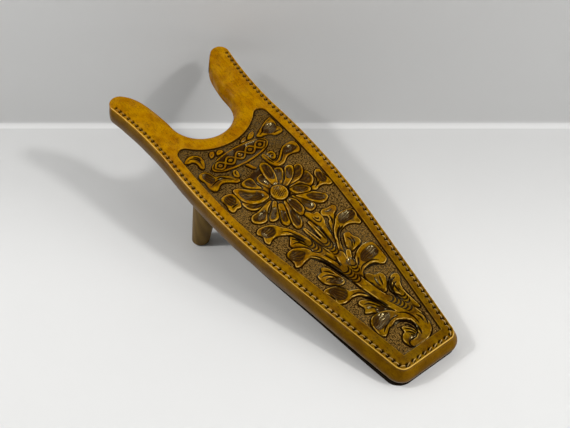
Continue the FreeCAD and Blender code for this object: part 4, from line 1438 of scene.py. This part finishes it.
def hide_group():
    """Grain, mottling, lengthwise streaks and specks of a hide."""
    tree, given = group("hide", [("Place", "Vector")],
                        [("Mottle", "Float"), ("Streaks", "Float"), ("Specks", "Float"), ("Height", "Float")])
    place = given["Place"]
    mottle = between(tree, noise(tree, place, *MOTTLING), 0.38, 0.66)
    lengthwise = flat_place(tree, place, STREAK_STRETCH)
    streaks = between(tree, noise(tree, lengthwise, *STREAKING), 0.46, 0.66)
    specks = between(tree, noise(tree, place, *SPECKING), 0.60, 0.70)
    pores = add(tree, "ShaderNodeTexVoronoi", {"Vector": place, "Scale": PORE_SCALE},
                feature="DISTANCE_TO_EDGE")
    creases = between(tree, pores.outputs["Distance"], 0.0, 0.18)
    height = work(tree, "ADD", work(tree, "MULTIPLY", creases, 0.35), noise(tree, place, *GRAIN))
    add(tree, "NodeGroupOutput", {"Mottle": mottle, "Streaks": streaks, "Specks": specks, "Height": height})
    return tree


def dye_group():
    """Dye that varies over a hide: deeper in patches and streaks, with fine dark specks."""
    tree, given = group("dye", [("Light", "Color"), ("Deep", "Color"), ("Dark", "Color"), ("Mottle", "Float"),
                                ("Streaks", "Float"), ("Specks", "Float")], [("Color", "Color")])
    colour = given["Light"]
    for marks, share, dye in DYE_SHARES:
        colour = mix(tree, work(tree, "MULTIPLY", given[marks], share), colour, given[dye])
    add(tree, "NodeGroupOutput", {"Color": colour})
    return tree


HIDE = hide_group()
DYE = dye_group()


def new_material(name, roughness, specular=0.5, tint=(1.0, 1.0, 1.0, 1.0)):
    """Material with only a main shader: its tree, the shader's inputs and the object coordinates."""
    material = bpy.data.materials.new(name)
    material.use_nodes = True
    tree = material.node_tree
    tree.nodes.clear()
    shader = add(tree, "ShaderNodeBsdfPrincipled", {"Roughness": roughness, "Specular IOR Level": specular,
                                                    "Specular Tint": tint})
    add(tree, "ShaderNodeOutputMaterial", {"Surface": shader.outputs[0]})
    place = add(tree, "ShaderNodeTexCoord").outputs["Object"]
    return material, tree, shader.inputs, place


def bump(tree, shader, height, distance):
    """Fine relief in the shading alone, at most as deep as the given distance in metres."""
    node = add(tree, "ShaderNodeBump", {"Height": height, "Distance": distance, "Strength": 1.0})
    tree.links.new(node.outputs[0], shader["Normal"])


def dyed_hide(tree, place, light, deep, dark):
    """Colour of a hide in the given dyes, and the height of its grain."""
    hide = add(tree, "ShaderNodeGroup", {"Place": place}, node_tree=HIDE).outputs
    marks = {name: hide[name] for name in ("Mottle", "Streaks", "Specks")}
    dye = add(tree, "ShaderNodeGroup", {"Light": light, "Deep": deep, "Dark": dark, **marks}, node_tree=DYE)
    return dye.outputs["Color"], hide["Height"]


def dye_values(tree):
    """What the leather's points carry: tone, with its painted shade and highlights, how matted and how cut.
    """
    values = add(tree, "ShaderNodeAttribute", attribute_name="dye").outputs[0]
    return add(tree, "ShaderNodeSeparateColor", {0: values}).outputs


# Pale colour of worn edges and of painted highlights
PALE_WEAR_AND_HIGHLIGHT = (0.85, 0.50, 0.08, 1.0)
OCHRE = (0.41, 0.191, 0.0005, 1.0)
RUSSET = (0.26, 0.090, 0.0005, 1.0)
OLIVE_BROWN = (0.085, 0.036, 0.002, 1.0)
HOLLOW_BROWN = (0.026, 0.010, 0.002, 1.0)
GROUND_DARK = (0.007, 0.0035, 0.001, 1.0)
GROUND_LIGHT = (0.235, 0.128, 0.028, 1.0)
LINE_BROWN = (0.004, 0.0015, 0.0005, 1.0)
BAND_LIGHT = (0.205, 0.095, 0.0005, 1.0)
BAND_DEEP = (0.125, 0.053, 0.0005, 1.0)
# Near black at the band's lower edge: painted shade where the side turns under
BAND_PAINTED_SHADE = (0.012, 0.007, 0.003, 1.0)
# Near black, so the sole's edge reads as a dark line below the band: the sole's own dark edge with painted
# shade of the gap
SOLE_LIGHT = (0.014, 0.009, 0.005, 1.0)
SOLE_DEEP = (0.009, 0.006, 0.003, 1.0)
SOLE_DARK = (0.004, 0.003, 0.002, 1.0)
LEG_LIGHT = (0.19, 0.112, 0.022, 1.0)
LEG_DARK = (0.095, 0.052, 0.009, 1.0)
BOARD_LIGHT = (0.55, 0.36, 0.17, 1.0)
BOARD_DARK = (0.38, 0.22, 0.09, 1.0)
THREAD_DEEP = (0.44, 0.27, 0.07, 1.0)
THREAD_LIGHT = (0.70, 0.47, 0.16, 1.0)
THREAD_STAIN = (0.36, 0.19, 0.02, 1.0)
THREAD_GRIME = (0.12, 0.07, 0.02, 1.0)
STEEL_DARK = (0.45, 0.45, 0.44, 1.0)
STEEL_LIGHT = (0.60, 0.59, 0.57, 1.0)
WARM_SHEEN = (1.0, 0.82, 0.4, 1.0)
TOE_SHADE = (0.50, 0.545, 1.0, 1.0)

# Where, in metres along the jack, the toe's shade and the thread's stain change
TOE_SHADE_ENDS = -0.17, 0.09
THREAD_STAIN_ENDS = -0.03, 0.09


def make_tooled_leather():
    """Ochre leather whose carved hollows, background and cut lines are darkened."""
    material, tree, shader, place = new_material("tooled_leather", 0.42, 0.2, WARM_SHEEN)
    plain, grain = dyed_hide(tree, place, OCHRE, RUSSET, OLIVE_BROWN)
    shaded = mix(tree, 1.0, plain, TOE_SHADE, "MULTIPLY")
    plain = mix(tree, between(tree, along_board(tree, place), *TOE_SHADE_ENDS), shaded, plain)
    tone, matted, cut = dye_values(tree)
    carved = mix(tree, between(tree, tone, 0.0, 0.75), HOLLOW_BROWN, plain)
    # Tones above the plain leather turn pale: wear with a painted highlight.
    wear_and_highlight = mix(tree, between(tree, tone, 0.83, 1.12), carved, PALE_WEAR_AND_HIGHLIGHT)
    stamped = mix(tree, matted, wear_and_highlight, mix(tree, tone, GROUND_DARK, GROUND_LIGHT))
    lined = mix(tree, work(tree, "MULTIPLY", cut, 0.97), stamped, LINE_BROWN)
    tree.links.new(lined, shader["Base Color"])
    gloss = between(tree, tone, 0.0, 0.8, 0.18, 0.27)
    roughness = add(tree, "ShaderNodeMix", {0: matted, 2: gloss, 3: 0.4}).outputs[0]
    tree.links.new(roughness, shader["Roughness"])
    waxed = work(tree, "MULTIPLY_ADD", between(tree, noise(tree, place, 80.0, 2.0), 0.49, 0.56), 0.9, 0.06)
    polish = work(tree, "MULTIPLY", between(tree, tone, 0.05, 0.5, 1.0, 0.08), waxed)
    polish = work(tree, "MULTIPLY", polish, between(tree, matted, 0.0, 1.0, 1.0, 0.35))
    rubbed = between(tree, tone, 0.84, 0.96, 0.0, 0.5)
    tree.links.new(work(tree, "ADD", polish, rubbed), shader["Specular IOR Level"])
    bump(tree, shader, grain, 0.04 * MM)
    return material


def make_plain_hide(name, light, deep, dark, roughness, low=None):
    """Leather of one dye, with painted shade darkening it towards its lower edge where a shade colour is
    given.
    """
    material, tree, shader, place = new_material(name, roughness, 0.02, WARM_SHEEN)
    colour, grain = dyed_hide(tree, place, light, deep, dark)
    if low:
        tone = dye_values(tree)[0]
        # Painted shade: the colour sinks towards the shade colour where the tone is low.
        colour = mix(tree, tone, low, colour)
        tree.links.new(between(tree, tone, 0.1, 0.85, 0.65, 0.02), shader["Specular IOR Level"])
    tree.links.new(colour, shader["Base Color"])
    bump(tree, shader, grain, 0.05 * MM)
    return material


def make_wood(name, light, dark, roughness, lengthwise):
    """Wood with growth rings and fibres that run along one direction."""
    material, tree, shader, place = new_material(name, roughness, 0.12)
    stretched = scaled(tree, place, lengthwise)
    rings = add(tree, "ShaderNodeTexWave", {"Vector": stretched, "Scale": 60.0, "Distortion": 5.0,
                                            "Detail": 3.0}, wave_type="RINGS").outputs["Fac"]
    fibres = noise(tree, stretched, 700.0, 4.0, 0.6)
    halves = [work(tree, "MULTIPLY", pattern, 0.5) for pattern in (rings, fibres)]
    tree.links.new(mix(tree, work(tree, "ADD", *halves, clamp=True), light, dark), shader["Base Color"])
    bump(tree, shader, fibres, 0.2 * MM)
    return material


def make_thread():
    """Waxed linen thread with a little grime, pale at the toe and stained on the prongs."""
    material, tree, shader, place = new_material("waxed_thread", 0.5, 0.15)
    fibres = noise(tree, place, 3000.0, 2.0)
    grime = between(tree, noise(tree, place, 160.0, 3.0), 0.4, 0.7)
    linen = mix(tree, fibres, THREAD_DEEP, THREAD_LIGHT)
    stained = between(tree, along_board(tree, place), *THREAD_STAIN_ENDS, 0.0, 0.85)
    linen = mix(tree, stained, linen, THREAD_STAIN)
    soiled = mix(tree, work(tree, "MULTIPLY", grime, 0.7), linen, THREAD_GRIME)
    tree.links.new(soiled, shader["Base Color"])
    bump(tree, shader, fibres, 0.1 * MM)
    return material


def make_steel():
    """Dull steel of the leg screws."""
    material, tree, shader, place = new_material("screw_steel", 0.35)
    shader["Metallic"].default_value = 1.0
    wear = noise(tree, place, 600.0, 4.0)
    tree.links.new(mix(tree, wear, STEEL_DARK, STEEL_LIGHT), shader["Base Color"])
    return material


WALL_NORMAL = Vector((-0.696, -0.718, 0.0)).normalized()
WALL_DISTANCE = 0.162
COVE_RADIUS = 0.005
SHADE_REACH = 0.22
PAINT_TINT = (1.0, 0.998, 0.985)


def make_room_paint(name, tone, near_wall):
    """Matt pale paint, a little greyer close to the wall as painted shade."""
    material, tree, shader, place = new_material(name, 0.9, 0.1)
    from_wall = add(tree, "ShaderNodeVectorMath", {0: place, 1: tuple(WALL_NORMAL)}, operation="DOT_PRODUCT")
    share = between(tree, from_wall.outputs["Value"], -WALL_DISTANCE, SHADE_REACH - WALL_DISTANCE,
                    near_wall, 1.0)
    uneven = work(tree, "MULTIPLY_ADD", noise(tree, place, 3.0, 2.0), 0.06, 0.97)
    colour = tuple(tone * part for part in PAINT_TINT)
    paint = add(tree, "ShaderNodeVectorMath", {0: colour, "Scale": work(tree, "MULTIPLY", share, uneven)},
                operation="SCALE")
    tree.links.new(paint.outputs[0], shader["Base Color"])
    return material


# ---- Pieces -------------------------------------------------------------------------------------

def dress(piece, node, material):
    """Gives a new piece its finish and puts it in the place of a CAD node."""
    piece.data.materials.clear()
    piece.data.materials.append(material)
    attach(piece, "root")
    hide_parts(node)


def paint_node(name, material):
    """Gives a CAD node that stays its finish."""
    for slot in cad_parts[name].material_slots:
        slot.material = material


tooled_leather = make_tooled_leather()
for sheet in [make_plain_leather()] + make_tooled_panel():
    dress(sheet, "top_cover", tooled_leather)
dress(make_band(), "side_band",
      make_plain_hide("band_leather", BAND_LIGHT, BAND_DEEP, OLIVE_BROWN, 0.28, BAND_PAINTED_SHADE))
waxed_thread = make_thread()
dress(make_stitches(waxed_thread), "edge_stitching", waxed_thread)
dress(make_sole(), "bottom_cover",
      make_plain_hide("sole_leather", SOLE_LIGHT, SOLE_DEEP, SOLE_DARK, 0.7))
leg_wood = make_wood("leg_wood", LEG_LIGHT, LEG_DARK, 0.45, (1.0, 1.0, 0.15))
paint_node("left_leg", leg_wood)
paint_node("right_leg", leg_wood)
dress(stacked_loops("board", board_levels), "core_board",
      make_wood("board_wood", BOARD_LIGHT, BOARD_DARK, 0.6, (1.0, 0.15, 1.0)))
paint_node("leg_screws", make_steel())


# ---- Room, light and camera ---------------------------------------------------------------------

# Rows of the room's profile that each sheet covers, its tone (lower on the cove and wall: painted shade), and
# its share of light at the wall (painted shade on the floor)
ROOM_PARTS = (("floor", 0, 2, 0.76, 0.80), ("cove", 1, 9, 0.70, 1.0), ("wall", 8, 13, 0.62, 1.0))
ROOM_DEPTH = 4.0
ROOM_HEIGHT = 2.0
ROOM_HALF_WIDTH = 3.0


def make_room():
    """Pale floor that sweeps up in a small curve into a wall close behind the object."""
    across = Vector((WALL_NORMAL.y, -WALL_NORMAL.x, 0.0))
    profile = [(ROOM_DEPTH, 0.0)]
    for turn in (math.radians(9 * step) for step in range(11)):
        profile.append((COVE_RADIUS * (1 - math.sin(turn)), COVE_RADIUS * (1 - math.cos(turn))))
    profile.append((0.0, ROOM_HEIGHT))
    for name, first, last, tone, near_wall in ROOM_PARTS:
        rows = profile[first:last]
        points = [WALL_NORMAL * (out - WALL_DISTANCE) + Vector((0, 0, up)) + across * side
                  for out, up in rows for side in (-ROOM_HALF_WIDTH, ROOM_HALF_WIDTH)]
        sheet = mesh_object(name, np.array(points), grid_faces(len(rows), 2))
        sheet.data.materials.append(make_room_paint(name, tone, near_wall))


# Place, width and power of each lamp
LAMPS = {
    "back_left_lamp": ((-1.027, 0.54, 1.42), 0.15, 8.0),
    "back_left_window": ((-1.027, 0.54, 1.42), 0.9, 6.5),
    "front_right_lamp": ((1.155, -2.805, 2.571), 0.40, 55.0),
    "front_right_window": ((0.578, -1.403, 1.30), 1.4, 15.0),
}
LIT_SPOT = Vector((0.0, 0.0, 0.03))


def add_light(name, place, size, power):
    """Round lamp that faces the object."""
    lamp = bpy.data.lights.new(name, "AREA")
    lamp.shape = "DISK"
    lamp.size = size
    lamp.energy = power
    holder = bpy.data.objects.new(name, lamp)
    holder.location = place
    holder.rotation_euler = (LIT_SPOT - Vector(place)).to_track_quat("-Z", "Y").to_euler()
    bpy.context.scene.collection.objects.link(holder)


OVERHEAD_GLOW = (0.05, 0.05, 0.05, 1.0)
HORIZON_GLOW = (0.18, 0.182, 0.185, 1.0)


def make_world():
    """Even surroundings, dim overhead and brighter towards the horizon."""
    world = bpy.data.worlds.new("room")
    bpy.context.scene.world = world
    world.use_nodes = True
    tree = world.node_tree
    tree.nodes.clear()
    place = add(tree, "ShaderNodeTexCoord").outputs["Generated"]
    height = add(tree, "ShaderNodeSeparateXYZ", {0: place}).outputs["Z"]
    glow = mix(tree, between(tree, height, 0.45, 0.85), HORIZON_GLOW, OVERHEAD_GLOW)
    background = add(tree, "ShaderNodeBackground", {"Color": glow, "Strength": 1.0})
    add(tree, "ShaderNodeOutputWorld", {"Surface": background.outputs[0]})


CAMERA_PLACE = (-0.3409, -0.5083, 0.6031)
CAMERA_RIGHT = Vector((0.7844, -0.6148, -0.0827))
CAMERA_UP = Vector((0.4663, 0.4965, 0.7322))
LENS_LENGTH = 68.42
SENSOR_WIDTH = 36.0


def make_camera():
    """Camera above the toe's left, looking down on the board."""
    lens = bpy.data.cameras.new("camera")
    lens.lens = LENS_LENGTH
    lens.sensor_width = SENSOR_WIDTH
    lens.clip_start = 0.01
    camera = bpy.data.objects.new("camera", lens)
    axes = Matrix((CAMERA_RIGHT, CAMERA_UP, CAMERA_RIGHT.cross(CAMERA_UP))).transposed()
    camera.matrix_world = Matrix.Translation(CAMERA_PLACE) @ axes.to_4x4()
    bpy.context.scene.collection.objects.link(camera)
    bpy.context.scene.camera = camera


make_room()
make_world()
for lamp_name, (lamp_place, lamp_size, lamp_power) in LAMPS.items():
    add_light(lamp_name, lamp_place, lamp_size, lamp_power)
make_camera()
bpy.context.scene.view_settings.view_transform = "Standard"
